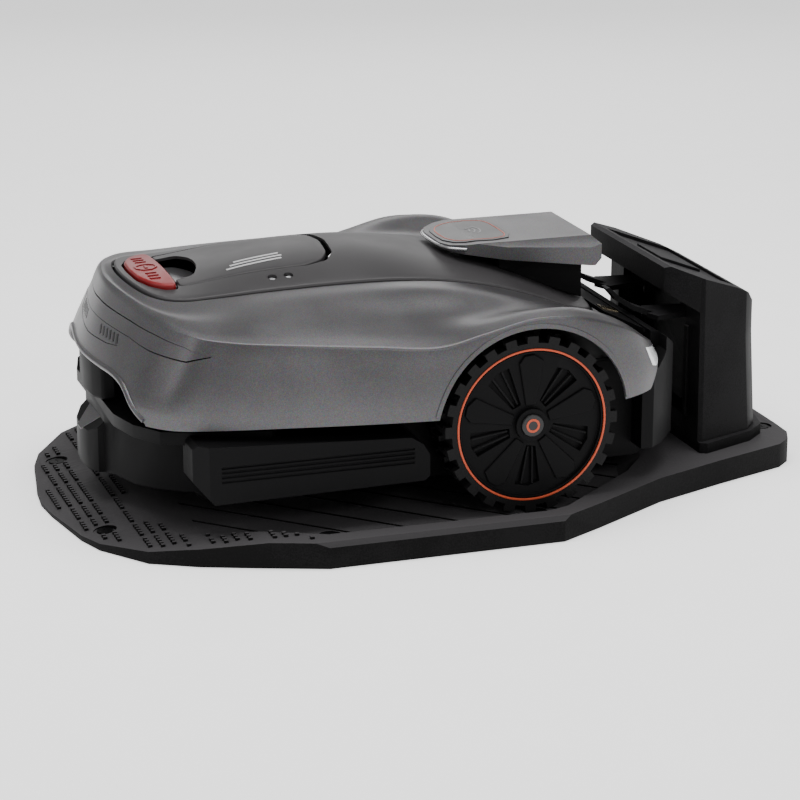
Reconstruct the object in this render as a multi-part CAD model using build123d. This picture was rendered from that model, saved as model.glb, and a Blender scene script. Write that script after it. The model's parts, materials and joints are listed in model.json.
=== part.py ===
from build123d import *
import math
import os

# Robotic lawn mower parked on its charging dock.  Millimetres.
# X runs along the mower with the front at -X, Y across, Z up, ground at Z = 0.

# ---------------------------------------------------------------- dimensions
WALL = 3.0                 # moulded wall of the outer shell
AXLE_X = 55.6              # drive axle
AXLE_Z = 115.5
LUG_R = 98.0               # drive wheel over the lugs
TYRE_R = 90.5              # tyre between the lugs
RING_R = 84.5              # coloured ring on the wheel face
WHEEL_IN = 182.0           # inner side of the tyre, from the mid plane
WHEEL_OUT = 236.0          # outer side of the tyre
LUGS = 24                  # lugs in each of the two staggered rows
SPOKES = 5
SHAFT_R = 6.0              # wheel shafts and caster pins
RUN_GAP = 0.05             # radial running clearance of shafts in bores
ARCH_R = 109.0             # wheel opening in the shell
SKIRT_Z = 134.0            # lower edge of the shell
TUB_FLOOR = 46.0           # chassis tub, underside
TUB_TOP = 158.0            # chassis tub, top edge
BLADE_X = -105.0           # centre of the cutting disc
DISC_R = 85.0
DECK_R = 124.0             # round tunnel above the cutting disc
CASTER_X = -270.0
CASTER_Y = 85.0
CASTER_R = 28.0
CASTER_TRAIL = 14.0        # caster axle behind its swivel pin
WELL_R = 48.0              # room for the caster to swivel
REST_Z = 17.5              # lowest point of the mower's wheels
DOCK_FLOOR = 17.2          # recessed parking floor of the dock
DOCK_TOP = 28.0            # rim of the dock plate
DOCK_LIP = 3.5             # front edge of the dock plate
DOCK_HALF = 429.5          # half length of the dock plate
PEG_POINTS = [(-386, 124), (-170, 236), (62, 236), (409, 66)]
ARM_Y = 70.0               # charging arms, from the mid plane
SHELL_PLAY = 4.0           # the floating shell slides this far each way
STOP_TRAVEL = 4.0          # stroke of the large stop button


# ---------------------------------------------------------------- helpers
def mirrored(half, across=1):
    """Close a half outline over the middle plane; across is the coordinate that changes sign."""
    if across == 0:
        return list(half) + [(-y, z) for y, z in reversed(half) if y > 0]
    other = [(x, -y) for x, y in reversed(half) if y > 0]
    return list(half) + other


def poly_face(points):
    return Face(Wire.make_polygon([Vector(*p) for p in points], close=True))


def plan(points, z0, z1):
    """Prism over an XY outline."""
    return extrude(poly_face([(x, y, z0) for x, y in points]), z1 - z0, dir=(0, 0, 1))


def side(points, y0, y1):
    """Prism over an XZ outline."""
    return extrude(poly_face([(x, y0, z) for x, z in points]), y1 - y0, dir=(0, 1, 0))


def front(points, x0, x1):
    """Prism over a YZ outline."""
    return extrude(poly_face([(x0, y, z) for y, z in points]), x1 - x0, dir=(1, 0, 0))


def block(x0, x1, y0, y1, z0, z1):
    centre = ((x0 + x1) / 2, (y0 + y1) / 2, (z0 + z1) / 2)
    return Pos(*centre) * Box(x1 - x0, y1 - y0, z1 - z0)


def rod_z(x, y, z0, z1, r):
    return Pos(x, y, (z0 + z1) / 2) * Cylinder(r, z1 - z0)


def rod_y(x, z, y0, y1, r):
    return Pos(x, (y0 + y1) / 2, z) * Rot(90, 0, 0) * Cylinder(r, abs(y1 - y0))


def flip(shape):
    return mirror(shape, about=Plane.XZ)


def track(stations, x):
    """Straight-line interpolation in a list of (x, value)."""
    if x <= stations[0][0]:
        return stations[0][1]
    for (xa, va), (xb, vb) in zip(stations, stations[1:]):
        if x <= xb:
            return va + (vb - va) * (x - xa) / (xb - xa)
    return stations[-1][1]


def skin(lines):
    """Closed solid through half lines (x, y, z), each from nose to tail."""
    count = len(lines[0])
    faces = []
    for sign in (1, -1):
        for low, high in zip(lines, lines[1:]):
            for i in range(count - 1):
                a, b = low[i], low[i + 1]
                c, d = high[i + 1], high[i]
                quad = [(x, sign * y, z) for x, y, z in (a, b, c, d)]
                faces.append(poly_face([quad[0], quad[1], quad[2]]))
                faces.append(poly_face([quad[0], quad[2], quad[3]]))
    for line in (lines[0], lines[-1]):
        if max(z for _, _, z in line) - min(z for _, _, z in line) < 1e-6:
            mirror_side = [(x, -y, z) for x, y, z in reversed(line) if y > 0]
            faces.append(poly_face(line + mirror_side))
            continue
        for i in range(count - 1):
            a, b = line[i], line[i + 1]
            ring = [a, b]
            if b[1] > 0:
                ring.append((b[0], -b[1], b[2]))
            if a[1] > 0:
                ring.append((a[0], -a[1], a[2]))
            faces.append(poly_face(ring))
    solid = Solid(Shell(faces))
    if solid.volume < 0:
        solid = Solid(solid.wrapped.Reversed())
    return solid


def inset(lines, depth):
    """Move every point of the lines inwards along its local normal."""
    result = []
    for j, line in enumerate(lines):
        moved = []
        for i, point in enumerate(line):
            before = Vector(*line[max(i - 1, 0)])
            after = Vector(*line[min(i + 1, len(line) - 1)])
            if i == 0:
                before = Vector(after.X, -after.Y, after.Z)
            if i == len(line) - 1:
                after = Vector(before.X, -before.Y, before.Z)
            lower = Vector(*lines[max(j - 1, 0)][i])
            upper = Vector(*lines[min(j + 1, len(lines) - 1)][i])
            normal = (after - before).cross(upper - lower).normalized()
            here = Vector(*point) + normal * depth
            y = 0.0 if i in (0, len(line) - 1) else here.Y
            moved.append((here.X, y, here.Z))
        result.append(moved)
    return result


# ---------------------------------------------------------------- body lines
# Half lines of the painted body, nose to tail, 16 stations each.
SILL = [(-383, 0), (-376, 75), (-365, 130), (-349, 166), (-325, 192), (-285, 206),
        (-200, 223), (-115, 238), (-50, 246), (0, 249), (56, 250), (110, 248),
        (160, 238), (200, 214), (228, 175), (246, 0)]
CREASE = [(-352, 0, 246), (-342, 80, 240), (-330, 125, 236), (-314, 162, 232), (-292, 190, 229),
          (-257, 205, 225), (-200, 218, 221), (-115, 232, 215), (-50, 243, 212), (0, 246, 224),
          (56, 247, 236), (110, 245, 231), (160, 234, 214), (196, 208, 192), (220, 168, 176),
          (236, 0, 172)]
SHOULDER = [(-345, 0, 251), (-337, 62, 248), (-326, 98, 245), (-311, 122, 243), (-293, 134, 242),
            (-258, 137, 243), (-200, 137, 247), (-115, 137, 249), (-50, 138, 248), (0, 140, 244),
            (56, 142, 234), (110, 142, 220), (160, 140, 202), (186, 128, 194), (203, 100, 189),
            (215, 0, 186)]
SPINE_EDGE = [(-337, 0, 255), (-332, 50, 253), (-323, 80, 250.5), (-309, 98, 248.5),
              (-290, 106, 247.5), (-255, 108, 248.5), (-200, 109, 251), (-115, 109, 252.5),
              (-50, 109, 251), (0, 109, 246.5), (56, 109, 236), (110, 109, 219.5),
              (158, 107, 201), (180, 98, 195), (190, 62, 192.5), (194, 0, 192)]
RIDGE_RISE = [(-120, 2), (-50, 0), (0, -1), (55, 2.5), (106, 8.5), (158, 6), (198, 1), (220, 0)]
VALLEY_RISE = [(-200, 2.5), (-120, 1), (-50, -3), (0, -7), (55, -7), (110, -4), (160, -2),
               (200, 1)]
BAND_HEIGHT = 21.0         # upright band above the skirt
SPINE_HALF = 109.0         # half width of the raised centre
SPINE_SEAM = 4.0           # centre cover outline, in from the shell edge
SPINE_PROUD = 2.0          # centre cover above the shell edge
SPINE_EDGE_DEPTH = 9.0     # rolled edge of the centre cover
CROWN = [(-337, 3), (-282, 10), (-217, 18.5), (-149, 22), (-60, 22), (20, 16), (88, 15),
         (176, 8), (194, 5)]


def blend_line(low, high, share, rise):
    """Line part-way between two lines, lifted by rise(x)."""
    result = []
    for (xa, ya, za), (xb, yb, zb) in zip(low, high):
        x = xa + (xb - xa) * share
        result.append((x, ya + (yb - ya) * share, za + (zb - za) * share + rise(x)))
    return result


def body_lines():
    sill = [(x, y, SKIRT_Z) for x, y in SILL]
    band = [(x, y + 1.5 if y else 0, SKIRT_Z + BAND_HEIGHT) for x, y in SILL]
    ridge = blend_line(CREASE, SHOULDER, 0.22, lambda x: track(RIDGE_RISE, x))
    valley = blend_line(CREASE, SHOULDER, 0.6, lambda x: track(VALLEY_RISE, x))
    return [sill, band, CREASE, ridge, valley, SHOULDER, SPINE_EDGE]


def spine_z(x, y):
    edge = track([(px, pz) for px, _, pz in SPINE_EDGE], x)
    return edge + track(CROWN, x) * (1 - (y / SPINE_HALF) ** 2)


def spine_lines(shrink, drop, depth):
    """Lines of the raised centre cover: outline pulled in by shrink, lowered by drop."""
    tail = SPINE_EDGE[-1][0]
    nose = SPINE_EDGE[0][0]
    middle = (tail + nose) / 2
    lines = []
    for share in (1.0, 1.0, 0.8, 0.55, 0.3, 0.12):
        line = []
        for x, y, z in SPINE_EDGE:
            scale_y = (SPINE_HALF - shrink) / SPINE_HALF * share
            reach = (tail - nose) / 2
            scale_x = (reach - shrink) / reach * (0.3 + 0.7 * share)
            px = middle + (x - middle) * scale_x
            py = y * scale_y
            line.append((px, py, spine_z(px, py) - drop))
        lines.append(line)
    lines[0] = [(x, y, z - depth) for x, y, z in lines[0]]
    return lines


# ---------------------------------------------------------------- painted shell
hull = skin(body_lines())
hollow_lines = inset(body_lines(), WALL)
hollow_lines[0] = [(x, y, z - 12) for x, y, z in hollow_lines[0]]
hollow = skin(hollow_lines)
FACE_DEPTH = 2.0
under_face = skin(inset(body_lines(), FACE_DEPTH))

SPINE_PLAN = mirrored([(x, y) for x, y, _ in SPINE_EDGE])
spine_hole = plan(SPINE_PLAN, 170, 300)
ARCH_DEPTH = 172.0         # the wheel openings stop here, from the mid plane
arches = rod_y(AXLE_X, AXLE_Z, -300, 300, ARCH_R)
arches = arches - block(-200, 300, -ARCH_DEPTH, ARCH_DEPTH, 0, 300)

# the tail is open for the rear deck, which widens towards the back
TAIL_PLAN = [(188, 0), (188, 99), (228, 172), (244, 172), (300, 150), (300, 0)]
TAIL_SLOPE = [(150, 90), (182, 118), (206, 136), (226, 172), (300, 172), (300, 90)]
tail_cut = plan(mirrored(TAIL_PLAN), 100, 240)
tail_trim = side(TAIL_SLOPE, -300, 300)
MOUTH = [(0, 172), (100, 171), (124, 166), (146, 152), (166, 136), (170, 100), (0, 100)]
mouth = front(mirrored(MOUTH, 0), -400, -300)

BAR = [(0, 230), (92, 227), (140, 223.5), (178, 219), (199, 212.5), (186, 206), (140, 208.5),
       (100, 213), (0, 215)]
PANEL = [(0, 214.5), (99, 212.4), (92, 204), (84, 200), (60, 197), (0, 195)]


def front_face_piece(outline):
    """Thin piece set flush in the painted front."""
    return (hull - under_face) & front(mirrored(outline, 0), -400, -285)


light_bar = front_face_piece(BAR)
light_panel = front_face_piece(PANEL)
LENS = [(196, 182), (214, 176), (232, 176), (232, 168), (216, 156), (206, 160)]
lens_zone = side(LENS, -260, -120)
tail_lens_left = ((hull - under_face) & lens_zone) - tail_cut
tail_lens_right = flip(tail_lens_left)

body_shell = hull - hollow - spine_hole - arches - tail_cut - mouth - tail_trim
body_shell = body_shell - light_bar - light_panel - tail_lens_left - tail_lens_right

# ---------------------------------------------------------------- centre cover
cover_outer = skin(spine_lines(SPINE_SEAM, -SPINE_PROUD, SPINE_EDGE_DEPTH))
cover_inner = skin(spine_lines(SPINE_SEAM + 4, 1.2, 60.0))
cover_deep = skin(spine_lines(SPINE_SEAM, -SPINE_PROUD, 90.0))
LID_HALF = 67.0
LID_FRONT = -283.0
LID_REAR = -108.0
LID_PLAN = mirrored([(LID_FRONT, 0), (LID_FRONT, LID_HALF - 4), (LID_FRONT + 4, LID_HALF),
                     (LID_REAR - 36, LID_HALF), (LID_REAR - 15, LID_HALF - 8),
                     (LID_REAR - 4, LID_HALF - 26), (LID_REAR, 0)])
LID_GAP = 2.0
LID_REAR_GAP = 6.0          # room for the rear edge to swing back as the lid opens
LID_HOLE = mirrored([(LID_FRONT - LID_GAP, 0), (LID_FRONT - LID_GAP, LID_HALF - 3),
                     (LID_FRONT + 3, LID_HALF + LID_GAP), (LID_REAR - 34, LID_HALF + LID_GAP),
                     (LID_REAR - 10, LID_HALF - 5), (LID_REAR + 2, LID_HALF - 24),
                     (LID_REAR + LID_REAR_GAP, 0)])
STOP_PLAN = mirrored([(-324, 0), (-322, 32), (-313, 56), (-300, 70), (-289, 72), (-287, 60),
                      (-287, 0)])
STOP_HOLE = mirrored([(-326.5, 0), (-324.5, 34), (-315, 58), (-301, 72.5), (-287, 74.5),
                      (-285, 62), (-285, 0)])
lid_hole = plan(LID_HOLE, 200, 300)
stop_hole = plan(STOP_HOLE, 200, 300)
skin_deep = cover_outer - cover_inner
FINGER_DISH = mirrored([(LID_FRONT - 1, 0), (LID_FRONT - 1, 48), (LID_FRONT + 21, 44),
                        (LID_FRONT + 30, 20), (LID_FRONT + 32, 0)])
finger_cut = plan(FINGER_DISH, 200, 300)

lid_skin = (skin_deep & plan(LID_PLAN, 200, 300)) - finger_cut
LID_PIN_X = -113.0
LID_PIN_Z = 268.0
LID_PIN_R = 1.6
KNUCKLE_HALF = 20.0        # lid hinge knuckle, half length
KNUCKLE_R = 3.4
knuckle = rod_y(LID_PIN_X, LID_PIN_Z, -KNUCKLE_HALF, KNUCKLE_HALF, KNUCKLE_R)
knuckle = knuckle + block(LID_PIN_X - 2, LID_PIN_X + 2, -KNUCKLE_HALF, KNUCKLE_HALF, LID_PIN_Z, 280)
knuckle = knuckle - rod_y(LID_PIN_X, LID_PIN_Z, -40, 40, LID_PIN_R + RUN_GAP)
knuckle_inside = knuckle & cover_outer
hatch_lid = lid_skin + (knuckle_inside & plan(LID_PLAN, 200, 300))

WELL_FLOOR = 231.0         # floor of the compartment under the lid and stop button
WELL_TOP = 262.0
WELL_PLAN = [(-330, 0), (-328, 36), (-318, 62), (-303, 77), (-281, 79), (-145, 72), (-106, 60),
             (-103, 0)]
WELL_ROOM = [(-327, 0), (-325, 34), (-315.5, 59), (-301.5, 74), (-281, 75), (-146, 69.5),
             (-109, 57), (-105, 0)]
well_box = plan(mirrored(WELL_PLAN), WELL_FLOOR - WALL, WELL_TOP)
well_room = plan(mirrored(WELL_ROOM), WELL_FLOOR, WELL_TOP)
well = (well_box - well_room) & cover_inner
stop_wall = block(-285, -282, -75, 75, WELL_FLOOR, 243) & cover_inner
EAR_OUT = 25.0             # hinge ears and the ends of the hinge pin
hinge_ear = block(-117, -111.2, KNUCKLE_HALF + 0.5, EAR_OUT, WELL_FLOOR, LID_PIN_Z + 2.2)
hinge_ears = hinge_ear + flip(hinge_ear)
hinge_pin = rod_y(LID_PIN_X, LID_PIN_Z, -EAR_OUT, EAR_OUT, LID_PIN_R)
STOP_POST_X = -305.0
STOP_POST_R = 4.0
stop_post = rod_z(STOP_POST_X, 0, WELL_FLOOR, WELL_FLOOR + 7, STOP_POST_R)
FLOAT_POINTS = [(-85, 60), (-85, -60), (75, 60), (75, -60)]
float_pins = [rod_z(x, y, 172, 196, 3.5) for x, y in FLOAT_POINTS]
float_struts = [block(x - 3, x + 3, y - 3, y + 3, 190, 280) for x, y in FLOAT_POINTS]
SCREW_POINTS = [(-168, -84), (-186, -84), (-168, 84), (-186, 84)]
SEAT_FLOOR = 251.5         # countersunk floor of the cover screws
screw_seats = [rod_z(x, y, SEAT_FLOOR, 300, 5.5) for x, y in SCREW_POINTS]

spine_cover = skin_deep - lid_hole - stop_hole
for strut in float_struts:
    spine_cover = spine_cover + (strut & cover_deep)
for pin in float_pins:
    spine_cover = spine_cover + pin
spine_cover = spine_cover + well + hinge_ears + hinge_pin + stop_wall + stop_post
for seat in screw_seats:
    spine_cover = spine_cover - seat

STOP_TOP = 4.0             # the button stands this far above the centre cover
STOP_UNDER = 243.0
stop_outer = skin(spine_lines(SPINE_SEAM, -SPINE_PROUD - STOP_TOP, SPINE_EDGE_DEPTH))
stop_stem = rod_z(STOP_POST_X, 0, WELL_FLOOR + STOP_TRAVEL + 1.5, STOP_UNDER + 9, 6)
stop_bore = rod_z(STOP_POST_X, 0, WELL_FLOOR, STOP_UNDER + 0.5, STOP_POST_R + RUN_GAP)
stop_button = (stop_outer & plan(STOP_PLAN, STOP_UNDER, 300)) + (stop_stem - stop_bore)
POWER_X = -225.0
POWER_R = 9.0
PANEL_TOP = 236.0
control_panel = block(-240, -150, -50, 50, WELL_FLOOR, PANEL_TOP)
control_panel = control_panel - rod_z(POWER_X, 0, WELL_FLOOR - 1, PANEL_TOP + 4, POWER_R + 0.3)
power_button = rod_z(POWER_X, 0, PANEL_TOP - 2.5, PANEL_TOP + 2, POWER_R)

# ---------------------------------------------------------------- antenna pod
POD_TOP = 272.5
POD_PLAN = mirrored([(22, 0), (23, 24), (30, 44), (44, 56), (90, 68), (185, 78), (200, 74),
                     (208, 52), (209, 0)])
POD_SIDE = [(22, 264), (24, 269), (60, POD_TOP), (192, POD_TOP), (209, 256), (192, 241), (84, 254),
            (40, 261)]
pod_solid = plan(POD_PLAN, 230, 290) & side(POD_SIDE, -100, 100)
pod_bevel = front([(-52, 290), (-60, 272), (-79, 262), (-82, 230), (-120, 230), (-120, 290)], 60, 230)
pod_solid = pod_solid - pod_bevel - flip(pod_bevel)
POD_IN_PLAN = mirrored([(45, 0), (48, 44), (90, 58), (180, 64), (192, 50), (194, 0)])
POD_IN_SIDE = [(45, 262), (60, 268.5), (186, 268.5), (196, 256), (186, 246), (90, 258)]
POD_SEAT = mirrored([(85, 0), (85, 52.5), (182, 62.5), (182, 0)])
LABEL_FLOOR = 268.5        # bottom of the label recess
LABEL_PLAN = mirrored([(28, 0), (29, 22), (36, 38), (48, 46), (80, 50), (100, 44), (106, 30),
                       (107, 0)])
LABEL_SIDE = [(22, 262), (24, 270), (60, POD_TOP + 1), (120, POD_TOP + 1), (120, 262)]
label_zone = plan(LABEL_PLAN, LABEL_FLOOR, 290)
pod_solid = pod_solid - label_zone
pod_room = (plan(POD_IN_PLAN, 230, 267) & side(POD_IN_SIDE, -100, 100)) + plan(POD_SEAT, 236, 262)
pod_shell = pod_solid - pod_room
pod_label = label_zone & side(LABEL_SIDE, -60, 60)
antenna_board = block(100, 172, -40, 40, 262.2, 264)
pod_foot = plan(mirrored([(86, 0), (86, 51.5), (181, 61.5), (181, 0)]), 150, 262)
pod_foot = pod_foot - plan(mirrored([(90, 0), (90, 47), (177, 57), (177, 0)]), 150, 258)
cover_cut = skin(spine_lines(SPINE_SEAM, -SPINE_PROUD - 0.1, 130.0))
pod_base = pod_foot - cover_cut

# ---------------------------------------------------------------- rear deck and chassis
TUB_HALF = [(-330, 0), (-330, 84), (-312, 110), (-285, 134), (-215, 150), (-60, 168),
            (205, 168), (228, 150), (244, 120), (244, 0)]
TUB_PLAN = mirrored(TUB_HALF)
TUB_ROOM = mirrored([(-326, 0), (-326, 82), (-309, 107), (-284, 130.5), (-214, 146.5), (-60, 164.5),
                     (203.5, 164.5), (225, 148), (240.5, 118), (240.5, 0)])
TUNNEL_ROOF = 68.0         # cutting tunnel, underside of its roof
WELL_ROOF = 84.0           # caster wells, underside of their roof
MOTOR_R = 34.0             # bodies of the blade motor and the drive gearboxes in the tub wall
GUIDE_Y = 56.0             # posts that guide the cutting deck
GUIDE_R = 4.0
tub_block = plan(TUB_PLAN, TUB_FLOOR, TUB_TOP)
chassis_tub = tub_block - plan(TUB_ROOM, TUB_FLOOR + 4, TUB_TOP)
chassis_tub = chassis_tub + (rod_z(BLADE_X, 0, TUB_FLOOR, TUNNEL_ROOF + 4, DECK_R + 4) & tub_block)
chassis_tub = chassis_tub - rod_z(BLADE_X, 0, 0, TUNNEL_ROOF, DECK_R)
chassis_tub = chassis_tub - rod_z(BLADE_X, 0, 0, 100, MOTOR_R + 3)
for sign in (1, -1):
    y = sign * CASTER_Y
    well_wall = rod_z(CASTER_X, y, TUB_FLOOR, WELL_ROOF + 4, WELL_R + 3) & plan(TUB_PLAN, 0, 200)
    boss = rod_z(CASTER_X, y, WELL_ROOF, WELL_ROOF + 30, 11)
    chassis_tub = chassis_tub + boss + well_wall - rod_z(CASTER_X, y, 0, WELL_ROOF, WELL_R)
    chassis_tub = chassis_tub - rod_z(CASTER_X, y, 80, 120, SHAFT_R + RUN_GAP)
    chassis_tub = chassis_tub - rod_y(AXLE_X, AXLE_Z, y * 3, y, MOTOR_R)
    chassis_tub = chassis_tub + rod_z(BLADE_X, sign * GUIDE_Y, TUNNEL_ROOF, 152, GUIDE_R)
    for x in (-140, 10):
        chassis_tub = chassis_tub + rod_z(x, sign * 140, TUB_FLOOR, TUB_TOP, 6)

COVER_TOP = TUB_TOP + 3.2
chassis_cover = plan(TUB_PLAN, TUB_TOP + 0.2, COVER_TOP)
cups = [rod_z(x, y, COVER_TOP, 192, 14) - rod_z(x, y, 166, 200, 10) for x, y in FLOAT_POINTS]
float_bushings = Compound(children=[cup.solids()[0] for cup in cups])

REAR_SIDE = [(228, 182), (238, 180), (256, 166), (270, 146), (279, 118), (279, 84), (272, 68),
             (262, 61), (200, 61), (200, 163), (228, 163)]
REAR_ROOM = [(250, 164), (267, 144), (276, 117), (276, 85), (268, 72), (254, 68), (248, 68),
             (248, 164)]
REAR_PLAN = [(200, 0), (200, 196), (214, 196), (232, 180), (258, 146), (272, 100), (279, 60),
             (279, 0)]
REAR_INNER = [(200, 0), (200, 170), (255, 143), (269, 99), (276, 59), (276, 0)]
parked_hull = hull + hollow - tail_cut - tail_trim + tail_lens_left + tail_lens_right
rear_housing = side(REAR_SIDE, -200, 200) & plan(mirrored(REAR_PLAN), 30, 200)
rear_housing = rear_housing - (side(REAR_ROOM, -150, 150) & plan(mirrored(REAR_INNER), 30, 200))
rear_housing = rear_housing - plan(TUB_PLAN, TUB_FLOOR - 10, COVER_TOP + 0.4)
rear_housing = rear_housing - parked_hull - Pos(SHELL_PLAY + 0.6, 0, 0) * parked_hull
LENS_ROOM = [(195, 186), (238.5, 186), (238.5, 164), (222, 151), (204, 151)]
lens_room = side(LENS_ROOM, -260, -150)
rear_housing = rear_housing - lens_room - flip(lens_room)
rear_deck = plan(mirrored([(197, 0), (196, 95), (221, 148), (222, 148), (222, 0)]), 160, 210)
rear_deck = rear_deck & side([(196, 192), (222, 184), (222, 180), (196, 188)], -160, 160)
PAD_SIDE = [(200, 192), (220, 185.8), (220, 184.6), (200, 190.8)]
PAD_HALF = 8.0             # half width of a charging pad, and of the arm blade above it
contact_pads = [side(PAD_SIDE, y - PAD_HALF, y + PAD_HALF) for y in (ARM_Y, -ARM_Y)]
charge_contact_pads = Compound(children=[pad.solids()[0] for pad in contact_pads])
for pad in contact_pads:
    rear_deck = rear_deck - pad

# ---------------------------------------------------------------- bumper, guards, visor
BUMPER = [(-366, 0), (-366, 46), (-358, 62), (-346, 98), (-328, 120), (-300, 142), (-232, 158),
          (-232, 152), (-285, 136), (-313, 112), (-332, 85), (-332, 0)]
BUMPER_LIP = [(-366, 0), (-366, 90), (-355, 135), (-334, 168), (-300, 184), (-222, 202), (-216, 196),
              (-216, 152), (-285, 136), (-313, 112), (-332, 85), (-332, 0)]
BUMPER_ROOM = [(-362, 0), (-362, 44), (-353, 60), (-341, 92), (-337, 80), (-337, 0)]
PROW_PLAN = [(-383, 0), (-381, 28), (-373, 43), (-350, 47), (-340, 47), (-340, 0)]
PROW_SIDE = [(-384, 47), (-384, 88), (-352, 117), (-340, 117), (-340, 47)]
BUMPER_LOW = 48.0
LIP_LOW = 113.0
LIP_HIGH = 127.0
bumper = plan(mirrored(BUMPER), BUMPER_LOW, LIP_LOW)
bumper = bumper - plan(mirrored(BUMPER_ROOM), BUMPER_LOW + 4, LIP_LOW - 4)
prow = plan(mirrored(PROW_PLAN), 40, 120) & side(PROW_SIDE, -60, 60)
front_bumper = bumper + plan(mirrored(BUMPER_LIP), LIP_LOW, LIP_HIGH) + prow
NOSE_PLAN = [(-377, 0), (-375, 30), (-367, 46), (-352, 48), (-352, 0)]
nose_block = plan(mirrored(NOSE_PLAN), LIP_HIGH + 2, 171.8)

GUARD_FACE = [(-311, 82), (-311, 118), (-306, 124), (-77, 113), (-63, 104), (-56, 92), (-56, 68),
              (-62, 63), (-292, 60)]
GUARD_IN = 172.0
GUARD_OUT = 229.0
guard = side(GUARD_FACE, -GUARD_OUT, -GUARD_IN)
guard_front_cut = plan([(-320, -240), (-288, -240), (-320, -200)], 40, 130)
guard = guard - guard_front_cut
GUARD_GROOVES = 4
GUARD_PITCH = 5.0
for step in range(GUARD_GROOVES):
    low = 84 + step * GUARD_PITCH
    groove = block(-284, -74, -GUARD_OUT - 1, -GUARD_OUT + 2, low, low + 2)
    guard = guard - groove
guard = guard - block(-286, -80, -GUARD_OUT + 5, -GUARD_IN - 4, 68, 110)
guard_mount = block(-240, -100, -GUARD_IN, -145, 80, 100)
guard_mount = guard_mount - plan(TUB_PLAN, 0, 200)
side_guard_left = guard + guard_mount - front_bumper
side_guard_right = flip(side_guard_left)

# ---------------------------------------------------------------- drive wheels
WHEEL_MID = (WHEEL_IN + WHEEL_OUT) / 2
FACE_STEP = 5.0            # the ring and hub stand this far outside the spokes
RIM_LIP = 3.5              # radial width of the coloured ring
CAP_R = 12.5
RIM_HUB_R = 18.0


def wheel_rod(y0, y1, r):
    return rod_y(AXLE_X, AXLE_Z, y0, y1, r)


def lug(angle, near):
    """One tread lug with a wider toe; near picks the row beside the mower."""
    if near:
        y0, y1 = WHEEL_IN, WHEEL_MID + 4
        toe_low, toe_high = -y0 - 9, -y0
    else:
        y0, y1 = WHEEL_MID - 4, WHEEL_OUT
        toe_low, toe_high = -y1, -y1 + 9
    bar = block(-3.2, 3.2, -y1, -y0, TYRE_R - 1.5, LUG_R - 0.1)
    toe = block(-6.2, 6.2, toe_low, toe_high, TYRE_R - 1.5, LUG_R - 0.3)
    return Pos(AXLE_X, 0, AXLE_Z) * Rot(0, angle, 0) * (bar + toe)


lug_pitch = 360 / LUGS
tyre = wheel_rod(-WHEEL_OUT, -WHEEL_IN, TYRE_R) - wheel_rod(-300, 0, RING_R)
lugs = [lug(i * lug_pitch, False) for i in range(LUGS)]
lugs = lugs + [lug((i + 0.5) * lug_pitch, True) for i in range(LUGS)]
tyre_left = tyre + lugs

rim = wheel_rod(-WHEEL_OUT, -WHEEL_IN - 2, RING_R) - wheel_rod(-WHEEL_OUT + 16, 0, RING_R - 6)
rim = rim - (wheel_rod(-300, -WHEEL_OUT + FACE_STEP, RING_R - 5) - wheel_rod(-300, -100, RIM_HUB_R))
SLOT = [(24, -4), (66, -17), (70, -2), (66, 11), (26, 6)]
SLOT_TURN = 18.0           # angle of the first opening between the spokes
SLOT_DEPTH = 9.0
for i in range(SPOKES):
    slot_face = poly_face([(x, -WHEEL_OUT + 2, z) for x, z in SLOT])
    window = extrude(slot_face, SLOT_DEPTH, dir=(0, 1, 0))
    rim = rim - Pos(AXLE_X, 0, AXLE_Z) * Rot(0, SLOT_TURN + i * 360 / SPOKES, 0) * window
rim = rim + wheel_rod(-WHEEL_OUT - 1, -196, RIM_HUB_R)
rim = rim - wheel_rod(-WHEEL_OUT + 6, -100, SHAFT_R)
rim = rim - wheel_rod(-WHEEL_OUT - 3, -WHEEL_OUT + 1, CAP_R)
ring_seat = wheel_rod(-300, -WHEEL_OUT + 1, 90) - wheel_rod(-300, -100, RING_R - RIM_LIP)
wheel_rim_left = rim - ring_seat
wheel_ring_left = wheel_rod(-WHEEL_OUT - 1, -WHEEL_OUT + 1, RING_R)
wheel_ring_left = wheel_ring_left - wheel_rod(-300, 0, RING_R - RIM_LIP)
hub_cap_left = wheel_rod(-WHEEL_OUT - 3.5, -WHEEL_OUT + 1, CAP_R)
wheel_shaft_left = wheel_rod(-WHEEL_OUT + 6, -110, SHAFT_R)
gearmotor = wheel_rod(-164, -140, 38) + wheel_rod(-140, -78, 26) + wheel_rod(-176, -164, 20)
gearmotor_left = gearmotor - wheel_rod(-200, -108, SHAFT_R + RUN_GAP)
left_wheel_nodes = {
    "tyre": tyre_left, "wheel_rim": wheel_rim_left, "wheel_ring": wheel_ring_left,
    "hub_cap": hub_cap_left, "wheel_shaft": wheel_shaft_left, "gearmotor": gearmotor_left,
}

# ---------------------------------------------------------------- casters
axle_x = CASTER_X + CASTER_TRAIL
axle_z = REST_Z + CASTER_R
FORK_HALF = 20.0           # half width of the caster fork
FORK_LOW = 76.0            # underside of the fork bridge
CASTER_AXLE_R = 4.0
CASTER_TYRE_HALF = 14.0
fork = rod_z(CASTER_X, -CASTER_Y, FORK_LOW, 110, SHAFT_R)
fork = fork + block(CASTER_X - 12, axle_x + 10, -CASTER_Y - FORK_HALF, -CASTER_Y + FORK_HALF,
                    FORK_LOW, FORK_LOW + 4)
for y in (-CASTER_Y - FORK_HALF, -CASTER_Y + FORK_HALF - 3):
    fork = fork + block(axle_x - 8, axle_x + 8, y, y + 3, axle_z - 8, FORK_LOW + 2)
caster_fork_left = fork + rod_y(axle_x, axle_z, -CASTER_Y - FORK_HALF, -CASTER_Y + FORK_HALF,
                                CASTER_AXLE_R)
wheel = rod_y(axle_x, axle_z, -CASTER_Y - CASTER_TYRE_HALF, -CASTER_Y + CASTER_TYRE_HALF, CASTER_R)
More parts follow.
